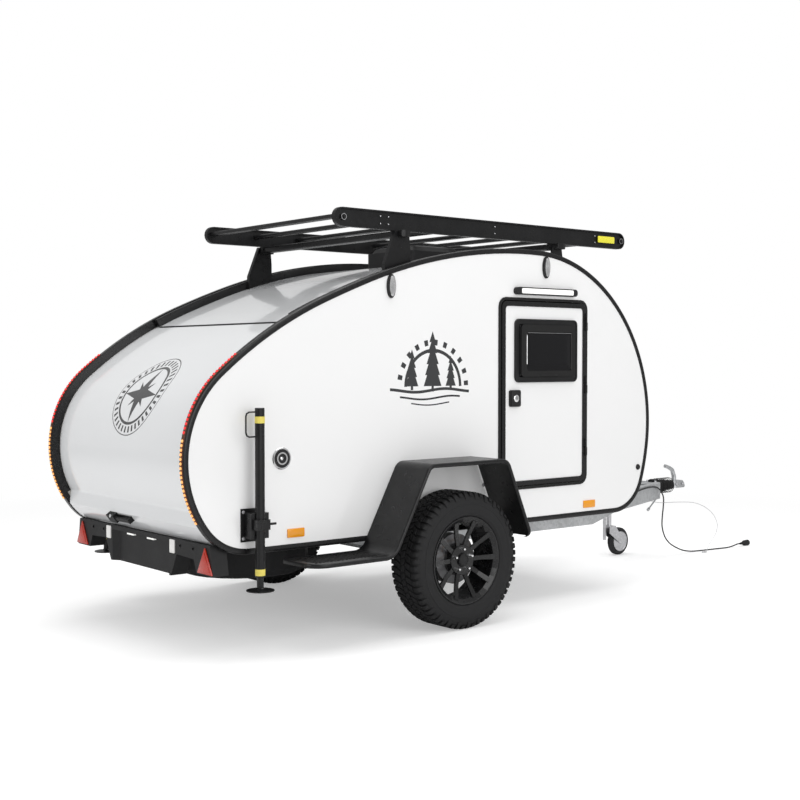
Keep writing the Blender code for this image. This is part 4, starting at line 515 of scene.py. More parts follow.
def moulded_plastic(name, colour, grain=420.0):
    """Black plastic with a leathery mould grain."""
    paint = Paint(name, colour, 0.48)
    cells = paint.cells(grain)
    tone = paint.between(paint.noise(12.0, 3.0), 0.3, 0.7)
    lighter = tuple(1.5 * v for v in colour)
    paint.put("Base Color", paint.mix(tone, colour, lighter))
    paint.put("Roughness", paint.between(cells, 0.0, 0.6, 0.42, 0.58))
    paint.bump(cells, 0.16, 0.0005)
    return paint.material


def trim_profile():
    """Satin black extruded trim."""
    paint = Paint("trim_satin_black", (0.008, 0.008, 0.0085), 0.30, coat=0.1)
    paint.put("Roughness", paint.between(paint.noise(60.0, 3.0), 0.3, 0.7, 0.24, 0.36))
    paint.bump(paint.noise(500.0, 2.0), 0.06, 0.0004)
    return paint.material


def seal_rubber(name, colour):
    """Soft dull rubber."""
    paint = Paint(name, colour, 0.7)
    tone = paint.between(paint.noise(25.0, 4.0), 0.3, 0.75)
    lighter = tuple(1.8 * v for v in colour)
    paint.put("Base Color", paint.mix(tone, colour, lighter))
    paint.put("Roughness", paint.between(tone, 0.0, 1.0, 0.62, 0.82))
    paint.bump(paint.noise(350.0, 3.0), 0.10, 0.0005)
    return paint.material


def gloss_alloy():
    """Gloss black lacquer on cast alloy."""
    paint = Paint("alloy_gloss_black", (0.005, 0.005, 0.0055), 0.20, coat=0.3)
    paint.put("Roughness", paint.between(paint.noise(40.0, 2.0), 0.3, 0.7, 0.24, 0.34))
    paint.bump(paint.noise(160.0, 2.0), 0.04, 0.0004)
    return paint.material


finishes["black_metal"] = powder_coat()
finishes["black_plastic"] = moulded_plastic("moulded_plastic_black", (0.009, 0.009, 0.0095))
finishes["black_trim"] = trim_profile()
finishes["black_rubber"] = seal_rubber("seal_rubber_black", (0.007, 0.007, 0.007))
finishes["rubber"] = seal_rubber("solid_rubber_grey", (0.016, 0.016, 0.017))
finishes["tyre"] = seal_rubber("tyre_rubber", (0.009, 0.009, 0.0095))
finishes["black_alloy"] = gloss_alloy()
finishes["cable"] = moulded_plastic("cable_sheath_black", (0.012, 0.012, 0.013), 700.0)
print(len(finishes), "finishes")

# %% [markdown]
# Galvanised steel shows its zinc as flat crystals, each of its own grey. A Voronoi pattern's cell colour
# is exactly that: one value per cell. Plated parts are brighter and finer, and a brake drum is bare iron
# with a soft bloom of rust.

# %% Metals
def galvanised_steel():
    """Hot-dip zinc with its crystals."""
    paint = Paint("galvanised_steel", (0.56, 0.57, 0.58), 0.42, metallic=0.85)
    crystal = paint.node("ShaderNodeSeparateColor", inputs={0: paint.cells(75.0, output=1)})
    cloud = paint.between(paint.noise(6.0, 4.0), 0.3, 0.7)
    tone = 0.55 * crystal + 0.45 * cloud
    paint.put("Base Color", paint.mix(tone, (0.40, 0.41, 0.42), (0.66, 0.67, 0.68)))
    paint.put("Roughness", paint.between(tone, 0.0, 1.0, 0.34, 0.52))
    paint.bump(paint.noise(120.0, 3.0), 0.08, 0.0004)
    return paint.material


def plated_steel(name, colour, roughness):
    """Bright zinc plate."""
    paint = Paint(name, colour, roughness, metallic=0.95)
    tone = paint.between(paint.noise(45.0, 4.0), 0.3, 0.7)
    darker = tuple(0.78 * v for v in colour)
    paint.put("Base Color", paint.mix(tone, darker, colour))
    paint.put("Roughness", paint.between(tone, 0.0, 1.0, roughness + 0.08, roughness))
    return paint.material


def drum_iron():
    """Bare machined iron with a little rust."""
    paint = Paint("drum_iron", (0.33, 0.33, 0.33), 0.5, metallic=0.8)
    bloom = paint.between(paint.noise(30.0, 5.0, 0.65), 0.52, 0.75)
    paint.put("Base Color", paint.mix(bloom, (0.15, 0.15, 0.155), (0.09, 0.055, 0.035)))
    paint.put("Metallic", 0.8 - 0.6 * bloom)
    paint.put("Roughness", paint.between(bloom, 0.0, 1.0, 0.45, 0.8))
    return paint.material


finishes["galvanised"] = galvanised_steel()
finishes["zinc"] = plated_steel("zinc_plate", (0.72, 0.72, 0.74), 0.26)
finishes["cast_drum"] = drum_iron()
print(len(finishes), "finishes")

# %% [markdown]
# The rest are the wooden pieces, the tinted window and the lamps. Wood is a wave along the board, bent by
# a noise. The window is dark acrylic: nearly black, very smooth, and a little see-through.

# %% Wood, window and lenses
def plywood():
    """Varnished birch ply."""
    paint = Paint("plywood_varnished", (0.60, 0.46, 0.30), 0.42, coat=0.2)
    z = paint.split(paint.place())[2]
    warp = paint.noise(3.0, 3.0)
    ring = (60.0 * z + 9.0 * warp).sine()
    grain = paint.between(ring + 0.8 * paint.noise(90.0, 3.0), -1.0, 1.6)
    paint.put("Base Color", paint.mix(grain, (0.66, 0.51, 0.34), (0.50, 0.35, 0.21)))
    paint.bump(grain, 0.06, 0.0004)
    return paint.material


def sealed_board():
    """The floor's black sealed board."""
    paint = Paint("sealed_board", (0.04, 0.04, 0.042), 0.8)
    tone = paint.between(paint.noise(14.0, 4.0), 0.3, 0.7)
    paint.put("Base Color", paint.mix(tone, (0.035, 0.035, 0.036), (0.065, 0.065, 0.066)))
    paint.bump(paint.noise(180.0, 3.0), 0.15, 0.0006)
    return paint.material


def tinted_window():
    """Dark tinted acrylic."""
    paint = Paint("tinted_acrylic_dark", (0.004, 0.004, 0.005), 0.05)
    paint.put("Roughness", paint.between(paint.noise(5.0, 2.0), 0.3, 0.7, 0.03, 0.07))
    paint.put("Alpha", 0.93)
    return paint.material


def lens(name, colour, roughness=0.12, glow=0.0):
    """A coloured lens with fine ribs behind its face; its glow is painted shine on a reflector."""
    paint = Paint(name, colour, roughness, coat=0.2)
    x, _, z = paint.split(paint.place())
    ribs = (900.0 * (x + z)).sine() * (900.0 * (x - z)).sine()
    darker = tuple(0.72 * v for v in colour)
    paint.put("Base Color", paint.mix(paint.between(ribs, -1.0, 1.0), darker, colour))
    if glow:
        paint.put("Emission Color", (*colour, 1.0))
        paint.shader.inputs["Emission Strength"].default_value = glow
    paint.bump(ribs, 0.15, 0.0005)
    return paint.material


finishes["plywood"] = plywood()
finishes["underbody"] = sealed_board()
finishes["tinted_acrylic"] = tinted_window()
finishes["lamp_housing"] = moulded_plastic("lamp_housing_black", (0.012, 0.012, 0.013))
finishes["red_lens"] = moulded_plastic("strip_carrier", (0.09, 0.028, 0.012), 500.0)
print(len(finishes), "finishes")

# %% Dress the CAD pieces
slots = {row["node"]: row["material_slot"] for row in frame["record"]["subparts"]}
for name, node in frame["nodes"].items():
    material = finishes[slots[name]]
    if node.material_slots:
        node.material_slots[0].material = material
    else:
        node.data.materials.append(material)
cable.data.materials.append(finishes["cable"])
wire.data.materials.append(finishes["zinc"])
METAL, PLASTIC, ZINC = finishes["black_metal"], finishes["black_plastic"], finishes["zinc"]
TRIM, RUBBER = finishes["black_trim"], finishes["black_rubber"]
print("dressed", len(frame["nodes"]), "CAD pieces")

# %% [markdown]
# ## Builders for the small parts
#
# Most of what follows is made from four shapes: a box with rounded edges, a flat plate cut to a loop, a
# turned part and a tube. Each is a bmesh, and `fit` joins a list of them in one piece, which then rides on
# a body of the CAD model and so moves with it.

# %% Small shapes
AXES = {
    "X": (Vector((0, 1, 0)), Vector((0, 0, 1)), Vector((1, 0, 0))),
    "Y": (Vector((0, 0, 1)), Vector((1, 0, 0)), Vector((0, 1, 0))),
    "Z": (Vector((1, 0, 0)), Vector((0, 1, 0)), Vector((0, 0, 1))),
}


def spot(axis, a, b, along):
    """Give the frame's place of plane coordinates and a distance along an axis."""
    return at(*{"X": (along, a, b), "Y": (a, along, b), "Z": (a, b, along)}[axis])


def rounded(mesh, bevel, segments=2):
    """Round every edge of a part."""
    if bevel:
        bmesh.ops.bevel(
            mesh, geom=mesh.edges[:], offset=bevel, segments=segments, profile=0.5,
            affect="EDGES", clamp_overlap=True,
        )
    return mesh


def slab(x, y, z, bevel=0.0):
    """Make a box from pairs of limits."""
    low, high = at(min(x), min(y), min(z)), at(max(x), max(y), max(z))
    size = Matrix.Diagonal((*(high - low), 1.0))
    mesh = bmesh.new()
    bmesh.ops.create_cube(mesh, size=1.0, matrix=Matrix.Translation((low + high) / 2) @ size)
    return rounded(mesh, bevel)


def bridge(mesh, first, second):
    """Join two rings of vertices, either of which may be a single point."""
    count = max(len(first), len(second))
    for k in range(count):
        n = (k + 1) % count
        corners = [first[k % len(first)], first[n % len(first)]]
        corners += [second[n % len(second)], second[k % len(second)]]
        corners = list(dict.fromkeys(corners))
        if len(corners) > 2:
            mesh.faces.new(corners)


def plate(loop, axis, low, high, bevel=0.0):
    """Cut a plate of some thickness to a loop of plane coordinates."""
    mesh = bmesh.new()
    rings = [[mesh.verts.new(spot(axis, a, b, along)) for a, b in loop] for along in sorted((low, high))]
    for ring in rings:
        mesh.faces.new(ring)
    bridge(mesh, *rings)
    return rounded(mesh, bevel)


def frame_plate(outer, inner, axis, low, high):
    """Cut a flat frame between two loops that have as many points."""
    mesh = bmesh.new()
    rings = []
    for loop, along in ((outer, low), (outer, high), (inner, high), (inner, low)):
        rings.append([mesh.verts.new(spot(axis, a, b, along)) for a, b in loop])
    for k in range(4):
        bridge(mesh, rings[k], rings[(k + 1) % 4])
    return mesh


def turned(profile, axis, centre, sides=32, closed=False):
    """Turn a row of (radius, distance along the axis) points round an axis through a centre."""
    mesh = bmesh.new()
    centre = at(*centre)
    u, v, w = AXES[axis]
    rings = []
    for radius, along in profile:
        angles = [math.tau * (k + 0.5) / sides for k in range(sides if radius > 1e-6 else 1)]
        rings.append([
            mesh.verts.new(centre + w * along + radius * (u * math.cos(a) + v * math.sin(a)))
            for a in angles
        ])
    for k in range(len(rings) - (not closed)):
        bridge(mesh, rings[k], rings[(k + 1) % len(rings)])
    return mesh


def tube(points, radius, sides=12):
    """Run a round bar through points."""
    points = [at(*point) for point in points]
    mesh = bmesh.new()
    rings = []
    side = (points[1] - points[0]).orthogonal().normalized()
    for k, point in enumerate(points):
        ahead = (points[min(k + 1, len(points) - 1)] - points[max(k - 1, 0)]).normalized()
        side = (side - ahead * side.dot(ahead)).normalized()
        other = ahead.cross(side)
        angles = [math.tau * n / sides for n in range(sides)]
        spots = [point + radius * (side * math.cos(a) + other * math.sin(a)) for a in angles]
        rings.append([mesh.verts.new(place) for place in spots])
    mesh.faces.new(rings[0])
    mesh.faces.new(rings[-1])
    for first, second in zip(rings, rings[1:]):
        bridge(mesh, first, second)
    return mesh


def hex_bolt(axis, centre, radius, sense=1):
    """Make a washer with a hexagonal head on it, facing along an axis or against it."""
    washer = [(0.0, 0.0), (1.7 * radius, 0.0), (1.7 * radius, 0.2 * radius), (0.0, 0.2 * radius)]
    top = 0.95 * radius
    head = [(0.0, 0.0), (radius, 0.0), (radius, 0.8 * radius), (0.86 * radius, top), (0.0, top)]
    return [
        turned([(r, sense * a) for r, a in washer], axis, centre, 20),
        turned([(r, sense * a) for r, a in head], axis, centre, 6),
    ]


def dome(axis, centre, radius, height, sense=1, sides=24):
    """Make a round head that bulges along an axis or against it."""
    rows = [(0.0, -0.0005), (radius, -0.0005)]
    rows += [(radius * math.cos(a), height * math.sin(a)) for a in np.linspace(0.0, math.pi / 2, 6)[:-1]]
    rows.append((0.0, height))
    return turned([(r, sense * a) for r, a in rows], axis, centre, sides)


def soft_loop(low_a, high_a, low_b, high_b, radius, steps=8):
    """Give the loop of a rectangle with round corners."""
    loop = []
    for a, b, turn in (
        (high_a - radius, high_b - radius, 0), (low_a + radius, high_b - radius, 1),
        (low_a + radius, low_b + radius, 2), (high_a - radius, low_b + radius, 3),
    ):
        for k in range(steps + 1):
            angle = (turn + k / steps) * math.pi / 2
            loop.append((a + radius * math.cos(angle), b + radius * math.sin(angle)))
    return loop


def fit(name, parts, body, finish, crease=38.0):
    """Join parts in one piece that rides on a body."""
    whole = bmesh.new()
    data = bpy.data.meshes.new(name)
    for part in parts:
        bmesh.ops.recalc_face_normals(part, faces=part.faces)
        part.to_mesh(data)
        part.free()
        whole.from_mesh(data)
    whole.to_mesh(data)
    whole.free()
    data.materials.clear()
    data.materials.append(finish)
    data.shade_smooth()
    data.set_sharp_from_angle(angle=math.radians(crease))
    piece = bpy.data.objects.new(name, data)
    bpy.context.scene.collection.objects.link(piece)
    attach(piece, body)
    return piece


SIDES = ((-1, "right"), (1, "left"))
print("builders ready")

# %% [markdown]
# ## The body's curved skins
#
# Seen from the side, the body is one closed line of arcs that run smoothly into each other. The CAD model
# cuts these arcs into flat facets, which a glossy skin would show at once. So the skins are made again
# here, with the same sizes and far finer steps. Walking the arcs once gives a table with the outline's
# place and outward direction at each station; a section is then carried along any stretch of it.

# %% The outline's table
BODY_ARCS = (
    (0.262, 70.8), (1.164, 10.7), (0.983, 96.9), (3.220, 21.6), (6.130, 3.0), (2.270, 17.0), (0.536, 87.3),
)
FLAT_FRONT_X, FLOOR_Z = 1.395, 0.468
SKIN_INSET, FLOOR_INSET, SKIN = 0.048, 0.004, 0.025
HALF_WIDTH, INNER_HALF, TRIM_WIDTH = 0.713, 0.683, 0.028
GAP = 0.003


def walk_outline(step=0.001):
    """Give rows of station, X, Z and the outward direction's X and Z."""
    arcs = [(radius, math.radians(turn)) for radius, turn in BODY_ARCS]
    turned_so_far = sum(turn for _, turn in arcs)
    ends = [0.0]
    for _, turn in arcs:
        ends.append(ends[-1] + turn)
    rise = sum(r * (math.cos(a) - math.cos(a + t)) for (r, t), a in zip(arcs, ends))
    last_turn = math.tau - turned_so_far
    arcs.append((-rise / (math.cos(turned_so_far) - 1.0), last_turn))
    rows = []
    x, z, heading, station = FLAT_FRONT_X, FLOOR_Z, 0.0, 0.0
    for radius, turn in arcs:
        angles = heading + np.linspace(0.0, turn, max(2, round(radius * turn / step)), endpoint=False)
        out_x, out_z = np.sin(angles), -np.cos(angles)
        xs = x + radius * (out_x - math.sin(heading))
        zs = z + radius * (math.cos(heading) + out_z)
        rows.append(np.stack([station + radius * (angles - heading), xs, zs, out_x, out_z], 1))
        x += radius * (math.sin(heading + turn) - math.sin(heading))
        z += radius * (math.cos(heading) - math.cos(heading + turn))
        heading += turn
        station += radius * turn
    count = round((FLAT_FRONT_X - x) / step)
    reach = np.linspace(0.0, FLAT_FRONT_X - x, count, endpoint=False)
    flat = np.stack([station + reach, x + reach, 0 * reach + FLOOR_Z, 0 * reach, 0 * reach - 1.0], 1)
    rows.append(flat)
    return np.vstack(rows), station + FLAT_FRONT_X - x


TABLE, LENGTH = walk_outline()


def station_near(x, z):
    """Give the station whose place on the outline is nearest to a point."""
    return TABLE[np.argmin((TABLE[:, 1] - x) ** 2 + (TABLE[:, 2] - z) ** 2), 0]


def station_where(column, value, low_z, high_z):
    """Give the rear station at which the outline's X or Z takes a value, between two heights."""
    rows = TABLE[(TABLE[:, 2] > low_z) & (TABLE[:, 2] < high_z) & (TABLE[:, 1] < 0.0)]
    return rows[np.argmin(np.abs(rows[:, column] - value)), 0]


SEAM = station_where(1, -0.898, 1.3, 1.9)
LIP_TOP = station_where(2, 0.652, 0.5, 0.9)
LIP = station_where(2, 0.604, 0.5, 0.9)
HATCH_FOOT = station_where(1, -1.321, 0.4, 0.6)
FRONT = BODY_ARCS[0][0] * math.radians(BODY_ARCS[0][1])
FLOOR_LIP = -(FLAT_FRONT_X - 1.360)
RAIL_FRONT = station_near(0.540, 2.0)
print("outline", round(LENGTH, 3), "m; seam at", round(SEAM, 3), "lip", round(LIP_TOP, 3), round(LIP, 3))


# %% Sections carried along the outline
def read_outline(stations):
    """Give X, Z and the outward direction at each station."""
    wrapped = np.vstack([TABLE - [LENGTH, 0, 0, 0, 0], TABLE, TABLE + [LENGTH, 0, 0, 0, 0]])
    return [np.interp(stations, wrapped[:, 0], wrapped[:, k]) for k in (1, 2, 3, 4)]


def skin_depth(stations):
    """Give the skin's depth inside the outline, which is small at the floor and the hatch's lip."""
    stations = stations % LENGTH
    front = np.clip(stations / FRONT, 0.0, 1.0)
    rear = np.clip((LIP - stations) / (LIP - LIP_TOP), 0.0, 1.0)
    return FLOOR_INSET + (SKIN_INSET - FLOOR_INSET) * np.minimum(front, rear)


def swept(first, last, profile, on_skin=False, closed=False, step=0.012):
    """Carry a closed section of (Y, depth) points along the outline between two stations."""
    count = max(2, math.ceil((last - first) / step))
    stations = np.linspace(first, last, count, endpoint=not closed)
    xs, zs, out_x, out_z = read_outline(stations)
    base = skin_depth(stations) if on_skin else 0.0 * stations
    mesh = bmesh.new()
    rings = []
    for k in range(count):
        ring = []
        for y, depth in profile:
            inward = base[k] + depth
            ring.append(mesh.verts.new(at(xs[k] - out_x[k] * inward, y, zs[k] - out_z[k] * inward)))
        rings.append(ring)
    if not closed:
        mesh.faces.new(rings[0])
        mesh.faces.new(rings[-1])
    for k in range(count - (not closed)):
        bridge(mesh, rings[k], rings[(k + 1) % count])
    return mesh


def skin_section(half):
    """Give the section of a curved skin between two side walls."""
    return [(-half, 0.0), (half, 0.0), (half, SKIN), (-half, SKIN)]


roof = fit(
    "roof_skin_fine", [swept(FLOOR_LIP, SEAM - GAP, skin_section(INNER_HALF - 0.0003), True)],
    "trailer", finishes["roof_skin"],
)
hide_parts("roof_shell")
seal = [(-0.640, -0.0015), (0.640, -0.0015), (0.640, 0.004), (-0.640, 0.004)]
hatch = fit(
    "hatch_skin_fine",
    [swept(SEAM + GAP, HATCH_FOOT - GAP, skin_section(INNER_HALF - 0.006), True, step=0.010)],
    "hatch", finishes["hatch_skin"],
)
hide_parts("hatch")
for name, first, last, body in (
    ("seam_seal", SEAM - 0.009, SEAM - GAP, "trailer"),
    ("hatch_lip_seal", SEAM + GAP, SEAM + 0.007, "hatch"),
):
    fit(name, [swept(first, last, seal, True)], body, RUBBER)
print("roof and hatch faces", len(roof.data.polygons), len(hatch.data.polygons))

# %% Edge trims, roof rails and side walls
TRIM_SECTION = (
    (0.6830, 0.0000), (0.7100, 0.0000), (0.7138, 0.0012), (0.7162, 0.0036), (0.7170, 0.0070),
    (0.7170, 0.0250), (0.7155, 0.0280), (0.6830, 0.0280),
)
RAIL_SECTION = (
    (0.6490, 0.0000), (0.6490, -0.0400), (0.6520, -0.0440), (0.6600, -0.0440), (0.6615, -0.0370),
    (0.6665, -0.0370), (0.6680, -0.0440), (0.6760, -0.0440), (0.6790, -0.0400), (0.6790, 0.0000),
)
LINER_SECTION = ((0.6817, -0.0450), (0.6829, -0.0450), (0.6829, -0.0004), (0.6817, -0.0004))


def pierced_plate(outer, hole, low, high):
    """Cut a plate with one hole to two loops of X and Z."""
    mesh = bmesh.new()
    for along in (low, high):
        edges = []
        for loop in (outer, hole):
            ring = [mesh.verts.new(spot("Y", a, b, along)) for a, b in loop]
            edges += [mesh.edges.new((ring[k], ring[(k + 1) % len(ring)])) for k in range(len(ring))]
        bmesh.ops.triangle_fill(mesh, use_beauty=True, use_dissolve=False, edges=edges)
    mesh.verts.ensure_lookup_table()
    start = 0
    half = len(outer) + len(hole)
    for loop in (outer, hole):
        ring = [mesh.verts[start + k] for k in range(len(loop))]
        other = [mesh.verts[half + start + k] for k in range(len(loop))]
        bridge(mesh, ring, other)
        start += len(loop)
    return mesh


stations = np.linspace(0.0, LENGTH, 700, endpoint=False)
xs, zs, out_x, out_z = read_outline(stations)
wall_inset = TRIM_WIDTH + 0.0003
wall_loop = list(zip(xs - out_x * wall_inset, zs - out_z * wall_inset))
door_hole = soft_loop(0.4547, 1.1303, 0.6717, 1.7013, 0.0403)
for side, word in SIDES:
    section = [(side * y, d) for y, d in TRIM_SECTION]
    trim = fit(
        "edge_trim_fine_" + word, [swept(0.0, LENGTH, section, closed=True)],
        "trailer", TRIM,
    )
    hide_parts("edge_trim_" + word)
    section = [(side * y, d) for y, d in LINER_SECTION]
    liner = [swept(FRONT, LIP_TOP, section, True)]
    fit("edge_liner_" + word, liner, "trailer", TRIM)
    section = [(side * y, d) for y, d in RAIL_SECTION]
    rail = fit(
        "roof_rail_fine_" + word, [swept(RAIL_FRONT, SEAM - 0.006, section, True)],
        "trailer", METAL,
    )
    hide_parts("roof_rail_" + word)
    wall = fit(
        "side_wall_fine_" + word,
        [pierced_plate(wall_loop, door_hole, *sorted((side * INNER_HALF, side * HALF_WIDTH)))],
        "trailer", finishes["gelcoat"],
    )
    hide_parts("side_panel_" + word)
print("trims, rails and walls for", len(SIDES), "sides")

# %% [markdown]
# A mudguard is one folded sheet: it rises in front of the wheel, runs flat over it, slopes down behind and
# ends as a step with a round outer corner. Its outer edge is bent down over a small radius. The path's
# corners are rounded first; then the sheet's section, bend included, is carried along the path.

# %% Mudguards
def round_path(rows, steps=14):
    """Round a path's corners (a, b, radius) and give points with their left-hand directions."""
    points = []
    for k, (a, b, radius) in enumerate(rows):
        corner = Vector((a, b))
        before = (corner - Vector(rows[max(k - 1, 0)][:2])).normalized()
        after = (Vector(rows[min(k + 1, len(rows) - 1)][:2]) - corner).normalized()
        if k in (0, len(rows) - 1):
            ahead = after if k == 0 else before
            points.append((corner, Vector((-ahead.y, ahead.x))))
            continue
        turn = math.atan2(before.x * after.y - before.y * after.x, before.dot(after))
        hand = 1 if turn > 0 else -1
        start = corner - before * radius * math.tan(abs(turn) / 2)
        centre = start + hand * radius * Vector((-before.y, before.x))
        for n in range(steps + 1):
            normal = Matrix.Rotation(turn * n / steps, 2) @ Vector((-before.y, before.x))
            points.append((centre - hand * radius * normal, normal))
    return points


GUARD_ROWS = ((0.450, 0.440, 0.0), (0.270, 0.860, 0.062), (-0.270, 0.860, 0.062), (-0.500, 0.430, 0.075))
STEP_END_X, STEP_CORNER, STEP_TOP = -0.970, 0.090, 0.430
FOOT_CORNER = 0.050
GUARD_IN, GUARD_OUT = 0.7173, 0.978
BOLT_FACE = 0.7175
GUARD_BOLTS = (
    (0.395, 0.545), (0.330, 0.700), (0.120, 0.836), (-0.120, 0.836), (-0.335, 0.700), (-0.410, 0.560),
)


def guard_section(inner, outer, side):
    """Give the sheet's section at a width: flat top and an edge rolled under."""
    bend, thick = 0.011, 0.003
    arc = [(math.sin(a), 1.0 - math.cos(a)) for a in np.linspace(0.0, math.pi, 13)]
    section = [(inner, 0.0)] + [(outer - bend + bend * s, bend * c) for s, c in arc]
    section += [(outer - bend + (bend - thick) * s, thick + (bend - thick) * c) for s, c in reversed(arc)]
    return [(side * y, d) for y, d in section + [(inner, thick)]]


def guard_mesh(side):
    """Carry the section along the guard's path and draw it in round the step's corner."""
    angles = np.linspace(0.0, math.pi / 2, 14)
    tail = [(STEP_END_X + STEP_CORNER * (1.0 - math.sin(a)), STEP_TOP, 0.0) for a in angles]
    path = round_path(GUARD_ROWS + (tail[0],))
    foot, rise = path[0][0], (path[1][0] - path[0][0]).normalized()
    angles = np.linspace(math.pi / 2, 0.0, 12)
    toe = [(foot + rise * FOOT_CORNER * (1.0 - math.sin(a)), path[0][1]) for a in angles]
    path = toe + path[1:]
    path += [(Vector(row[:2]), Vector((0.0, -1.0))) for row in tail[1:]]
    mesh = bmesh.new()
    rings = []
    for point, normal in path:
        reach = max(0.0, (STEP_END_X + STEP_CORNER - point.x) / STEP_CORNER)
        outer = GUARD_OUT - STEP_CORNER * (1.0 - math.sqrt(max(0.0, 1.0 - reach * reach)))
        reach = max(0.0, 1.0 - (point - foot).length / FOOT_CORNER)
        outer -= FOOT_CORNER * (1.0 - math.sqrt(1.0 - reach * reach))
        spots = [(point + normal * depth, y) for y, depth in guard_section(GUARD_IN, outer, side)]
        rings.append([mesh.verts.new(at(place.x, y, place.y)) for place, y in spots])
    mesh.faces.new(rings[0])
    mesh.faces.new(rings[-1])
    for first, second in zip(rings, rings[1:]):
        bridge(mesh, first, second)
    return mesh


for side, word in SIDES:
    end = slab((STEP_END_X, STEP_END_X + 0.004), (side * GUARD_IN, side * 0.890), (0.408, 0.4295), 0.0015)
    guard = fit("mudguard_fine_" + word, [guard_mesh(side), end], "trailer", METAL)
    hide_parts("mudguard_" + word)
    feet = []
    for x, z in GUARD_BOLTS:
        feet += hex_bolt("Y", (x, side * BOLT_FACE, z), 0.006, side)
    grips = []
    for x in np.arange(-0.93, -0.56, 0.022):
        grips.append(slab((x, x + 0.010), (side * 0.760, side * 0.930), (0.4298, 0.4322), 0.0008))
    fit("step_grip_" + word, grips, "trailer", RUBBER)
    fit("guard_bolts_" + word, feet, "trailer", ZINC)
print("mudguards", len(guard.data.polygons), "faces each")

# %% [markdown]
# ## Rings and rows of equal parts
#
# A tyre's tread is one block pattern repeated round a circle, and a light strip is one lamp repeated along
# a curve. Geometry Nodes does both: the part to repeat is the modifier's own geometry, and the number, the
# centre and the material are named inputs. The result is turned back into plain mesh.

# %% Trees that repeat a part
def new_tree(name, inputs):
    """Start a Geometry Nodes tree with named inputs and give its graph and input wires."""
    tree = bpy.data.node_groups.new(name, "GeometryNodeTree")
    tree.interface.new_socket("Geometry", in_out="OUTPUT", socket_type="NodeSocketGeometry")
    tree.interface.new_socket("Geometry", in_out="INPUT", socket_type="NodeSocketGeometry")
    for label, kind in inputs:
        tree.interface.new_socket(label, in_out="INPUT", socket_type=kind)
    graph = Graph(tree)
    first = tree.nodes.new("NodeGroupInput")
    return graph, [Wire(graph, socket) for socket in first.outputs]


def end_tree(graph, copies, paint):
    """Realize the copies, give them their material and end the tree."""
    solid = graph.node("GeometryNodeRealizeInstances", inputs={0: copies})
    painted = graph.node("GeometryNodeSetMaterial", inputs={"Geometry": solid, "Material": paint})
    last = graph.tree.nodes.new("NodeGroupOutput")
    graph.feed(last.inputs[0], painted)
    return graph.tree


def ring_tree():
    """Repeat the geometry round a centre, about the Y axis."""
    inputs = (
        ("Count", "NodeSocketInt"), ("Centre", "NodeSocketVector"), ("Material", "NodeSocketMaterial"),
    )
    graph, (part, count, centre, paint, _) = new_tree("ring_of_copies", inputs)
    points = graph.node("GeometryNodePoints", inputs={"Count": count, "Position": centre})
    angle = math.tau * graph.node("GeometryNodeInputIndex") / count
    turn = graph.node("ShaderNodeCombineXYZ", inputs={"Y": angle})
    copies = graph.node(
        "GeometryNodeInstanceOnPoints", inputs={"Points": points, "Instance": part, "Rotation": turn},
    )
    return end_tree(graph, copies, paint)


def row_tree():
    """Repeat the geometry at the points of a polyline that another object carries."""
    inputs = (
        ("Route", "NodeSocketObject"), ("Pitch", "NodeSocketFloat"), ("Material", "NodeSocketMaterial"),
    )
    graph, (part, route, pitch, paint, _) = new_tree("row_along_route", inputs)
    line = graph.node("GeometryNodeObjectInfo", inputs={"Object": route}, output="Geometry")
    curve = graph.node("GeometryNodeMeshToCurve", inputs={"Mesh": line})
    points = graph.node(
        "GeometryNodeCurveToPoints", {"mode": "LENGTH"}, inputs={"Curve": curve, "Length": pitch},
    )
    copies = graph.node("GeometryNodeInstanceOnPoints", inputs={"Points": points, "Instance": part})
    return end_tree(graph, copies, paint)


RING, ROW = ring_tree(), row_tree()


def grown(part, tree, inputs):
    """Run a tree on a part and give the result as plain mesh."""
    data = bpy.data.meshes.new(tree.name)
    part.to_mesh(data)
    part.free()
    source = bpy.data.objects.new(tree.name, data)
    bpy.context.scene.collection.objects.link(source)
    modifier = source.modifiers.new(tree.name, "NODES")
    modifier.node_group = tree
    sockets = {item.name: item.identifier for item in tree.interface.items_tree if item.in_out == "INPUT"}
    for label, value in inputs.items():
        modifier[sockets[label]] = value
    graph = bpy.context.evaluated_depsgraph_get()
    result = bpy.data.meshes.new_from_object(source.evaluated_get(graph), depsgraph=graph)
    source.modifiers.clear()
    bpy.data.objects.remove(source)
    mesh = bmesh.new()
    mesh.from_mesh(result)
    return mesh


def joined(*parts):
    """Join parts in one bmesh."""
    whole = bmesh.new()
    data = bpy.data.meshes.new("joined")
    for part in parts:
        part.to_mesh(data)
        part.free()
        whole.from_mesh(data)
    return whole


print("trees:", RING.name, ROW.name)

# %% Extra paints
# The red, amber, white and yellow reflectors are no lamps: their faint emission is a painted shine.
RED_REFLECTOR_PAINTED_GLOW = lens("lens_red", (0.48, 0.030, 0.015), glow=0.10)
AMBER_REFLECTOR_PAINTED_GLOW = lens("lens_amber", (0.85, 0.33, 0.01), glow=0.10)
WHITE_REFLECTOR_PAINTED_GLOW = lens("reflector_white", (0.85, 0.84, 0.82), 0.2, glow=0.15)
LED_RED = lens("led_red", (0.80, 0.02, 0.02), glow=0.55)
LED_AMBER = lens("led_amber", (0.95, 0.44, 0.13), glow=0.70)
LAMP_WHITE = lens("lamp_white", (0.90, 0.90, 0.88), glow=0.5)
BAND_YELLOW = moulded_plastic("band_yellow", (0.62, 0.52, 0.10), 900.0)
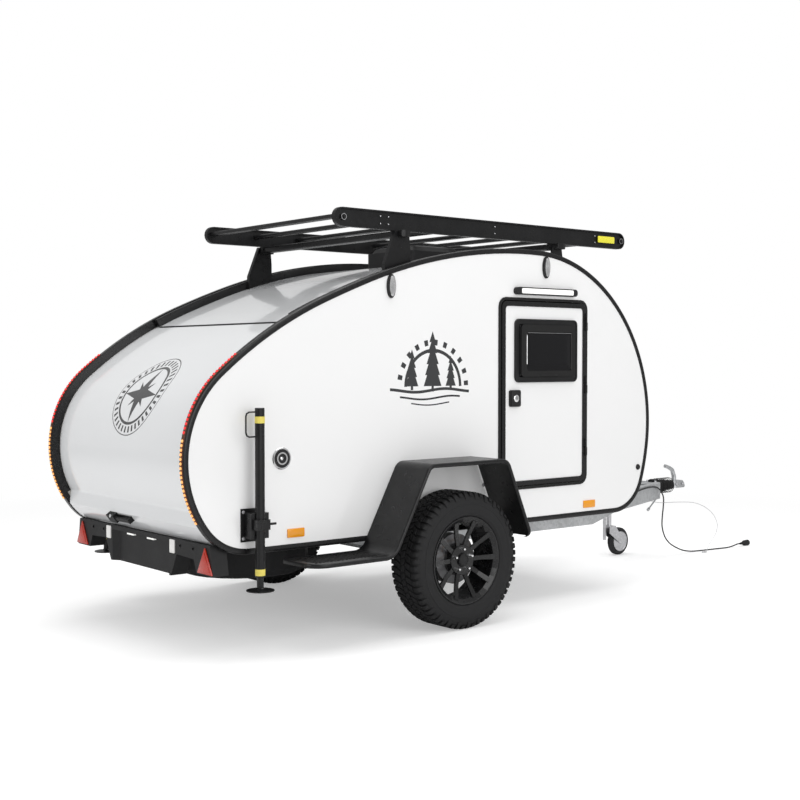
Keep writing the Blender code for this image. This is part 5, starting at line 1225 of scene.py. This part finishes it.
# The yellow reflector is no lamp either: its faint glow is a painted shine.
YELLOW_REFLECTOR_PAINTED_GLOW = lens("reflector_yellow", (0.80, 0.74, 0.05), glow=0.15)
CHROME = plated_steel("chrome_bright", (0.86, 0.86, 0.87), 0.08)
print("extra paints ready")

# %% [markdown]
# ## Wheels
#
# The tyre is an all-terrain one. Its carcass is turned; a wedge of the tread, two pitches long, holds long
# and short shoulder lugs and three staggered rows of blocks, and is repeated round the wheel.

# %% Tyres
WHEEL_Y, WHEEL_Z, WHEEL_R = 0.8535, 0.352, 0.352
TYRE_HALF = (
    (0.2105, 0.0600), (0.2105, 0.0823), (0.2262, 0.0828), (0.2275, 0.0895), (0.2300, 0.0940),
    (0.2400, 0.0995), (0.2440, 0.1015), (0.2460, 0.1012), (0.2580, 0.1050), (0.2720, 0.1066),
    (0.2860, 0.1064), (0.2875, 0.1074), (0.2905, 0.1074), (0.2920, 0.1056), (0.3060, 0.1030),
    (0.3180, 0.0995), (0.3300, 0.0935), (0.3385, 0.0850), (0.3425, 0.0740), (0.3440, 0.0500),
    (0.3445, 0.0200),
)
LUG_LONG = (
    (0.3500, 0.0600), (0.3515, 0.0790), (0.3470, 0.0915), (0.3340, 0.1000),
    (0.3150, 0.1055), (0.3130, 0.0990), (0.3380, 0.0780), (0.3400, 0.0600),
)
LUG_SHORT = (
    (0.3500, 0.0560), (0.3515, 0.0790), (0.3465, 0.0925), (0.3320, 0.1005),
    (0.3280, 0.0900), (0.3380, 0.0780), (0.3400, 0.0560),
)
BLOCKS = ((-0.038, 0.034, 0.008), (0.000, 0.030, -0.006), (0.038, 0.034, 0.008))
PITCHES = 30
LUG_WIDTH, BLOCK_LENGTH = 0.0235, 0.0290
CARCASS_TOP, TREAD_TOP = 0.3400, 0.3514


def lug(rows, side, angle, width):
    """Make a shoulder lug from its (radius, axial) section, some width long."""
    mesh = bmesh.new()
    rings = []
    for reach in (-width / 2, width / 2):
        turn = Matrix.Rotation(angle + reach / WHEEL_R, 3, "Y")
        rings.append([mesh.verts.new(turn @ Vector((0.0, side * a, r))) for r, a in rows])
    for ring in rings:
        mesh.faces.new(ring)
    bridge(mesh, *rings)
    return rounded(mesh, 0.0016, 1)


def block(axial, width, slant, angle, length):
    """Make a tread block: a slanting four-sided plate on the carcass."""
    mesh = bmesh.new()
    rings = []
    for radius in (CARCASS_TOP, TREAD_TOP):
        ring = []
        for along, across in ((-1, -1), (1, -1), (1, 1), (-1, 1)):
            reach = along * length / 2 + across * slant
            turn = Matrix.Rotation(angle + reach / WHEEL_R, 3, "Y")
            ring.append(mesh.verts.new(turn @ Vector((0.0, axial + across * width / 2, radius))))
        rings.append(ring)
    for ring in rings:
        mesh.faces.new(ring)
    bridge(mesh, *rings)
    return rounded(mesh, 0.0016, 1)


def tread_wedge():
    """Two pitches of the tread."""
    step = math.tau / PITCHES / 2
    parts = []
    for k, rows in enumerate((LUG_LONG, LUG_SHORT)):
        for side in (-1, 1):
            parts.append(lug(rows, side, (k + 0.25 * side) * step, LUG_WIDTH))
        for n, (axial, width, slant) in enumerate(BLOCKS):
            parts.append(block(axial, width, slant, (k + 0.5 * n) * step, BLOCK_LENGTH))
    return joined(*parts)


for side, word in SIDES:
    centre = (0.0, side * WHEEL_Y, WHEEL_Z)
    rows = list(TYRE_HALF) + [(r, -a) for r, a in reversed(TYRE_HALF)]
    carcass = turned(rows, "Y", centre, 120, closed=True)
    settings = {"Count": PITCHES, "Centre": at(*centre), "Material": finishes["tyre"]}
    tread = grown(tread_wedge(), RING, settings)
    tyre = fit("tyre_treaded_" + word, [carcass, tread], "wheel_" + word, finishes["tyre"], 32.0)
    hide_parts("tyre_" + word)
print("tyre faces", len(tyre.data.polygons))

# %% Nuts, caps and valves
NUTS, NUT_CIRCLE = 5, 0.056
NUT_FACE, CAP_FACE = 0.9115, 0.9228
VALVE_CIRCLE, VALVE_ANGLE = 0.196, 0.9

for side, word in SIDES:
    nuts, cap = [], []
    for k in range(NUTS):
        angle = math.tau * (k + 0.25) / NUTS
        place = (NUT_CIRCLE * math.cos(angle), side * NUT_FACE, WHEEL_Z + NUT_CIRCLE * math.sin(angle))
        rows = [(0.0, 0.0), (0.0115, 0.0), (0.0105, 0.004), (0.0088, 0.006)]
        rows += [(0.0088, 0.017), (0.0060, 0.0205), (0.0, 0.0212)]
        nuts.append(turned([(r, side * a) for r, a in rows], "Y", place, 6))
    hub = (0.0, side * CAP_FACE, WHEEL_Z)
    rows = [(0.0, 0.0), (0.0325, 0.0), (0.0325, 0.003), (0.0300, 0.0055)]
    rows += [(0.0240, 0.0055), (0.0232, 0.0045), (0.0, 0.0055)]
    cap.append(turned([(r, side * a) for r, a in rows], "Y", hub, 40))
    ring = [(0.0232, 0.0052), (0.0250, 0.0066), (0.0268, 0.0052)]
    cap.append(turned([(r, side * a) for r, a in ring], "Y", hub, 40, closed=True))
    stem_x, stem_z = VALVE_CIRCLE * math.cos(VALVE_ANGLE), VALVE_CIRCLE * math.sin(VALVE_ANGLE)
    stem = (stem_x, side * 0.915, WHEEL_Z + stem_z)
    rows = [(0.0, 0.0), (0.004, 0.0), (0.004, side * 0.030), (0.0, side * 0.032)]
    cap.append(turned(rows, "Y", stem, 12))
    fit("wheel_nuts_" + word, nuts, "wheel_" + word, CHROME)
    fit("hub_cap_" + word, cap, "wheel_" + word, PLASTIC)
print("nuts and caps fitted")

# %% [markdown]
# ## Lamps and reflectors
#
# Each rear edge carries a strip of small lamps, red above and amber below. Two oval lamps and an amber
# reflector sit on each side wall, and the bumper has red triangles and white squares. The reflectors are
# given a faint emission, a painted shine, though they are no lamps.

# %% Light strips
STRIP_TOP = station_near(-1.238, 1.440)
STRIP_SWAP = station_near(-1.501, 1.039)
STRIP_FOOT = station_near(-1.438, 0.621)
STRIP_Y = 0.6990
LED_RADIUS, LED_PITCH = 0.0076, 0.0201
LED_SEGMENTS, LED_ROWS = 12, 8


def led_bulb():
    """Make a ball round the origin, ring by ring, so its faces come in the same order on every run."""
    bulb = bmesh.new()
    rings = []
    for row in range(LED_ROWS + 1):
        tilt = math.pi * row / LED_ROWS
        radius, z = LED_RADIUS * math.sin(tilt), LED_RADIUS * math.cos(tilt)
        count = LED_SEGMENTS if 0 < row < LED_ROWS else 1
        angles = [math.tau * k / LED_SEGMENTS for k in range(count)]
        rings.append([bulb.verts.new((radius * math.cos(a), radius * math.sin(a), z)) for a in angles])
    for first, second in zip(rings, rings[1:]):
        bridge(bulb, first, second)
    return bulb


def strip_route(y, first, last):
    """Give a polyline object that runs along the outline, level with the carrier's face."""
    xs, zs, out_x, out_z = read_outline(np.arange(first, last, 0.004))
    xs, zs = xs + 0.0016 * out_x, zs + 0.0016 * out_z
    points = [at(x, y, z) for x, z in zip(xs, zs)]
    data = bpy.data.meshes.new("strip_route")
    data.from_pydata(points, [(k, k + 1) for k in range(len(points) - 1)], [])
    route = bpy.data.objects.new("strip_route", data)
    bpy.context.scene.collection.objects.link(route)
    return route


for side, word in SIDES:
    corners = ((0.6915, -0.0003), (0.7115, -0.0003), (0.7115, -0.0024), (0.6915, -0.0024))
    strip = [swept(STRIP_TOP, STRIP_FOOT, [(side * y, depth) for y, depth in corners])]
    base = fit("strip_carrier_" + word, strip, "trailer", finishes["red_lens"])
    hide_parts("light_strip_" + word)
    for colour, first, last, paint in (
        ("red", STRIP_TOP + 0.010, STRIP_SWAP - 0.008, LED_RED),
        ("amber", STRIP_SWAP + 0.028, STRIP_FOOT - 0.006, LED_AMBER),
    ):
        route = strip_route(side * STRIP_Y, first, last)
        lamps = [grown(led_bulb(), ROW, {"Route": route, "Pitch": LED_PITCH, "Material": paint})]
        bpy.data.objects.remove(route)
        slot = "red_lens" if colour == "red" else "lamp_housing"
        fit("leds_" + colour + "_" + word, lamps, "trailer", paint)
print("strip from station", round(STRIP_TOP, 3), "to", round(STRIP_FOOT, 3))

# %% Side lamps, reflectors, inlet and grommet
def oval(x, z, half_x, half_z, count=40):
    """Give an upright oval's loop."""
    angles = [math.tau * k / count for k in range(count)]
    return [(x + half_x * math.cos(a), z + half_z * math.sin(a)) for a in angles]


WALL_FACE = 0.7133
SIDE_LAMPS = ((-0.311, 1.745), (0.804, 1.890))
SIDE_REFLECTORS = ((-0.895, 0.548), (1.169, 0.538))

for side, word in SIDES:
    wall = side * WALL_FACE
    shells, faces, amber, rings = [], [], [], []
    for x, z in SIDE_LAMPS:
        shells.append(plate(oval(x, z, 0.026, 0.061), "Y", wall, wall + side * 0.012, 0.004))
        faces.append(plate(oval(x, z, 0.019, 0.052), "Y", wall + side * 0.011, wall + side * 0.019, 0.004))
    for x, z in SIDE_REFLECTORS:
        loop = soft_loop(x - 0.0485, x + 0.0485, z - 0.021, z + 0.021, 0.004)
        amber.append(plate(loop, "Y", wall, wall + side * 0.006, 0.0015))
    knob = [(0.0, 0.0), (0.017, 0.0), (0.017, 0.004), (0.013, 0.009), (0.007, 0.012), (0.0, 0.0125)]
    shells.append(turned([(r, side * a) for r, a in knob], "Y", (1.602, wall, 0.729), 28))
    fit("side_lamp_faces_" + word, faces, "trailer", CHROME)
    # The amber reflectors are no lamps: their faint glow is a painted shine.
    fit("side_reflectors_" + word, amber, "trailer", AMBER_REFLECTOR_PAINTED_GLOW)
    if word == "right":
        inlet = (-0.974, wall, 0.907)
        for rows in (
            ((0.0445, 0.0), (0.0525, 0.0), (0.0525, 0.003), (0.0495, 0.006), (0.0445, 0.006)),
            ((0.0230, 0.0043), (0.0300, 0.0043), (0.0300, 0.0080), (0.0230, 0.0080)),
        ):
            rings.append(turned([(r, side * a) for r, a in rows], "Y", inlet, 40, closed=True))
        pin = [(0.0, side * 0.0043), (0.008, side * 0.0043), (0.0, side * 0.0075)]
        rings.append(turned(pin, "Y", inlet, 24))
        fit("inlet_ring", rings, "trailer", CHROME)
        lid = [(0.0, 0.0), (0.0442, 0.0), (0.0442, side * 0.0042), (0.0, side * 0.0042)]
        shells.append(turned(lid, "Y", inlet, 40))
    fit("side_fittings_" + word, shells, "trailer", PLASTIC)
print("side lamps fitted")

# %% Rear bumper and hatch
red, white, glow, dark = [], [], [], []
for side in (-1, 1):
    outer = [(side * 0.706, 0.3865), (side * 0.572, 0.3865), (side * 0.640, 0.5100)]
    inner = [(side * 0.688, 0.3965), (side * 0.590, 0.3965), (side * 0.640, 0.4880)]
    red.append(plate([(y, z) for y, z in outer], "X", -1.3532, -1.3453, 0.003))
    red.append(plate([(y, z) for y, z in inner], "X", -1.3560, -1.3530, 0.0012))
    loop = soft_loop(*sorted((side * 0.310, side * 0.356)), 0.450, 0.514, 0.005)
    white.append(plate(loop, "X", -1.3500, -1.3453, 0.0012))
    glow.append(slab((-1.3435, -1.3270), (side * 0.070, side * 0.140), (0.4885, 0.4972), 0.002))
    dark += hex_bolt("X", (-1.3453, side * 0.400, 0.490), 0.006, -1)
    dark += hex_bolt("X", (-1.3453, side * 0.520, 0.490), 0.006, -1)
# The red triangles and the white squares are reflectors: their faint glow is a painted shine.
fit("rear_triangles", red, "trailer", RED_REFLECTOR_PAINTED_GLOW)
fit("rear_white_reflectors", white, "trailer", WHITE_REFLECTOR_PAINTED_GLOW)
fit("plate_lamps", glow, "trailer", LAMP_WHITE)
fit("bumper_bolts", dark, "trailer", METAL)
rows = [(0.0, 0.0), (0.0085, 0.0), (0.0085, -0.003), (0.0, -0.0036)]
lock = turned(rows, "X", (-1.4285, 0.150, 0.588), 20)
fit("hatch_lock", [lock], "hatch", CHROME)
print("bumper dressed")

# %% [markdown]
# ## Door, window and awning lamp
#
# The door has a black cover strip round its leaf, a round lock in a bezel and a window of dark acrylic. A
# dark printed band runs inside the window's edge. The stay and the blind's rod, which a real window shows
# through its glass, sit on the glass here. All of these ride on the door's body, so they swing with it;
# only the awning lamp's lens stays on the wall.

# %% Door fittings
LOCK_X, LOCK_FACE, LOCK_Z = 0.557, 0.7305, 1.162
GLASS_FACE = 0.7420

for side, word in SIDES:
    glass = side * GLASS_FACE
    lock_place = (LOCK_X, side * LOCK_FACE, LOCK_Z)
    body = "door_" + word
    bezel = turned(
        [(0.020, 0.0), (0.036, 0.0), (0.036, side * 0.004), (0.032, side * 0.007), (0.020, side * 0.007)],
        "Y", lock_place, 36, closed=True,
    )
    pull = slab((0.521, 0.593), (side * LOCK_FACE, side * 0.7345), (1.119, 1.205), 0.003)
    fit("lock_bezel_" + word, [bezel, pull], body, PLASTIC)
    barrel = [(0.0, 0.0), (0.0195, 0.0), (0.0195, 0.007), (0.0165, 0.0090), (0.0, 0.0090)]
    key = turned([(r, side * a) for r, a in barrel], "Y", lock_place, 28)
    fit("lock_barrel_" + word, [key], body, CHROME)
    slot_bar = slab((0.5552, 0.5588), (side * 0.7393, side * 0.7401), (1.152, 1.172), 0.0002)
    edge = frame_plate(
        soft_loop(0.4620, 1.1320, 0.6790, 1.6940, 0.033), soft_loop(0.4890, 1.1050, 0.7050, 1.6680, 0.020),
        "Y", *sorted((side * 0.7163, side * 0.7215)),
    )
    fit("door_edge_cover_" + word, [edge], body, TRIM)
    fit("lock_slot_" + word, [slot_bar], body, PLASTIC)
    outer = soft_loop(0.557, 1.049, 1.249, 1.599, 0.030)
    inner = soft_loop(0.566, 1.040, 1.258, 1.590, 0.022)
    lips = [frame_plate(outer, inner, "Y", *sorted((side * 0.7262, side * 0.7300)))]
    catch = slab((0.735, 0.871), (glass + side * 0.0003, glass + side * 0.0035), (1.2855, 1.2925), 0.0012)
    fit("window_lips_" + word, lips + [catch], body, PLASTIC)
    pane_y = glass + side * 0.0002
    rim_out = soft_loop(0.588, 1.018, 1.280, 1.568, 0.022)
    rim_in = soft_loop(0.632, 0.988, 1.314, 1.528, 0.010)
    mask = frame_plate(rim_out, rim_in, "Y", *sorted((pane_y, pane_y + side * 0.0004)))
    fit("window_print_" + word, [mask], body, RUBBER)
    stay = tube([(0.630, side * 0.7430, 1.350), (0.630, side * 0.7430, 1.510)], 0.0034, 12)
    blind = tube([(0.636, side * 0.7424, 1.523), (0.984, side * 0.7424, 1.523)], 0.0007, 8)
    fit("window_stay_" + word, [stay, blind], body, CHROME)
    face = side * 0.7412
    loop = soft_loop(0.592, 1.001, 1.7385, 1.7665, 0.006)
    pane = plate(loop, "Y", face, face + side * 0.003, 0.0012)
    fit("awning_lens_" + word, [pane], "trailer", LAMP_WHITE)
print("doors dressed")

# %% [markdown]
# ## Legs, rack, coupling and jockey wheel
#
# The legs have two yellow bands each, and a bracket that is bolted to the wall. Each rail of the rack has a
# dark bolt in a light eye ring at both ends, four pairs of rivets between them and a yellow reflector near
# its front end, whose faint glow is a painted shine.

# %% Legs and rack
LEG_BANDS = ((1.082, 1.113), (0.378, 0.408))
RACK_FACE, RACK_BOLT_Z, RIVET_ROWS = 0.6272, 2.086, (2.066, 2.104)

for side, word in SIDES:
    bands = []
    for low, high in LEG_BANDS:
        rows = [(0.0230, low), (0.0236, low), (0.0236, high), (0.0230, high)]
        bands.append(turned(rows, "Z", (-1.140, side * 0.782, 0.0), 32, closed=True))
    fit("leg_bands_" + word, bands, "leg_" + word, BAND_YELLOW)
    light = []
    for x in (-1.190, -1.075):
        for z in (0.545, 0.668):
            light += hex_bolt("Y", (x, side * BOLT_FACE, z), 0.005, side)
    rail = side * RACK_FACE
    dark = []
    eye = [(r, side * a) for r, a in ((0.0140, 0.0), (0.0160, 0.0), (0.0160, 0.002), (0.0140, 0.002))]
    for x in (-0.540, 1.540):
        dark += hex_bolt("Y", (x, rail, RACK_BOLT_Z), 0.0080, side)
        light.append(turned(eye, "Y", (x, rail, RACK_BOLT_Z), 28, closed=True))
    for x in (-0.306, -0.254, 0.495, 1.308):
        light += [dome("Y", (x, rail, z), 0.0035, 0.0018, side, 14) for z in RIVET_ROWS]
    fit("bolts_" + word, light, "trailer", ZINC)
    fit("rack_rivets_" + word, dark, "trailer", METAL)
    loop = soft_loop(1.332, 1.476, 2.068, 2.106, 0.005)
    sticker = plate(loop, "Y", rail, rail + side * 0.003, 0.001)
    # The yellow reflector's faint glow is a painted shine.
    fit("rack_reflector_" + word, [sticker], "trailer", YELLOW_REFLECTOR_PAINTED_GLOW)
print("legs and rack dressed")

# %% Coupling, drawbar and jockey wheel
steel = []
for y in (-0.036, 0.036):
    for z in (0.458, 0.528):
        steel += hex_bolt("X", (2.5995, y, z), 0.0055, -1)
for x in (2.835, 2.900):
    for side in (-1, 1):
        steel += hex_bolt("Y", (x, side * 0.0362, 0.496), 0.0065, side)
fit("coupling_bolts", steel, "trailer", ZINC)
folds = []
for x in np.arange(2.640, 2.790, 0.020):
    ridge = [(0.0505, x), (0.0535, x + 0.004), (0.0505, x + 0.008)]
    folds.append(turned(ridge, "X", (0.0, 0.0, 0.4925), 32, closed=True))
fit("bellows_folds", folds, "trailer", RUBBER)
DISC = (
    (0.000, 0.0235), (0.026, 0.0235), (0.030, 0.0215), (0.064, 0.0215),
    (0.066, 0.0245), (0.069, 0.0245), (0.069, 0.0190), (0.000, 0.0190),
)
hub = [turned([(r, s * a) for r, a in DISC], "Y", (2.505, 0.220, 0.096), 40) for s in (-1, 1)]
fit("jockey_hub", hub, "jockey_wheel", ZINC)
ribs = []
for y in np.arange(-0.170, 0.171, 0.034):
    ribs.append(slab((0.275, 0.625), (y - 0.004, y + 0.004), (2.0262, 2.0302), 0.0015))
fit("vent_ribs", ribs, "trailer", PLASTIC)
print("coupling and vent dressed")
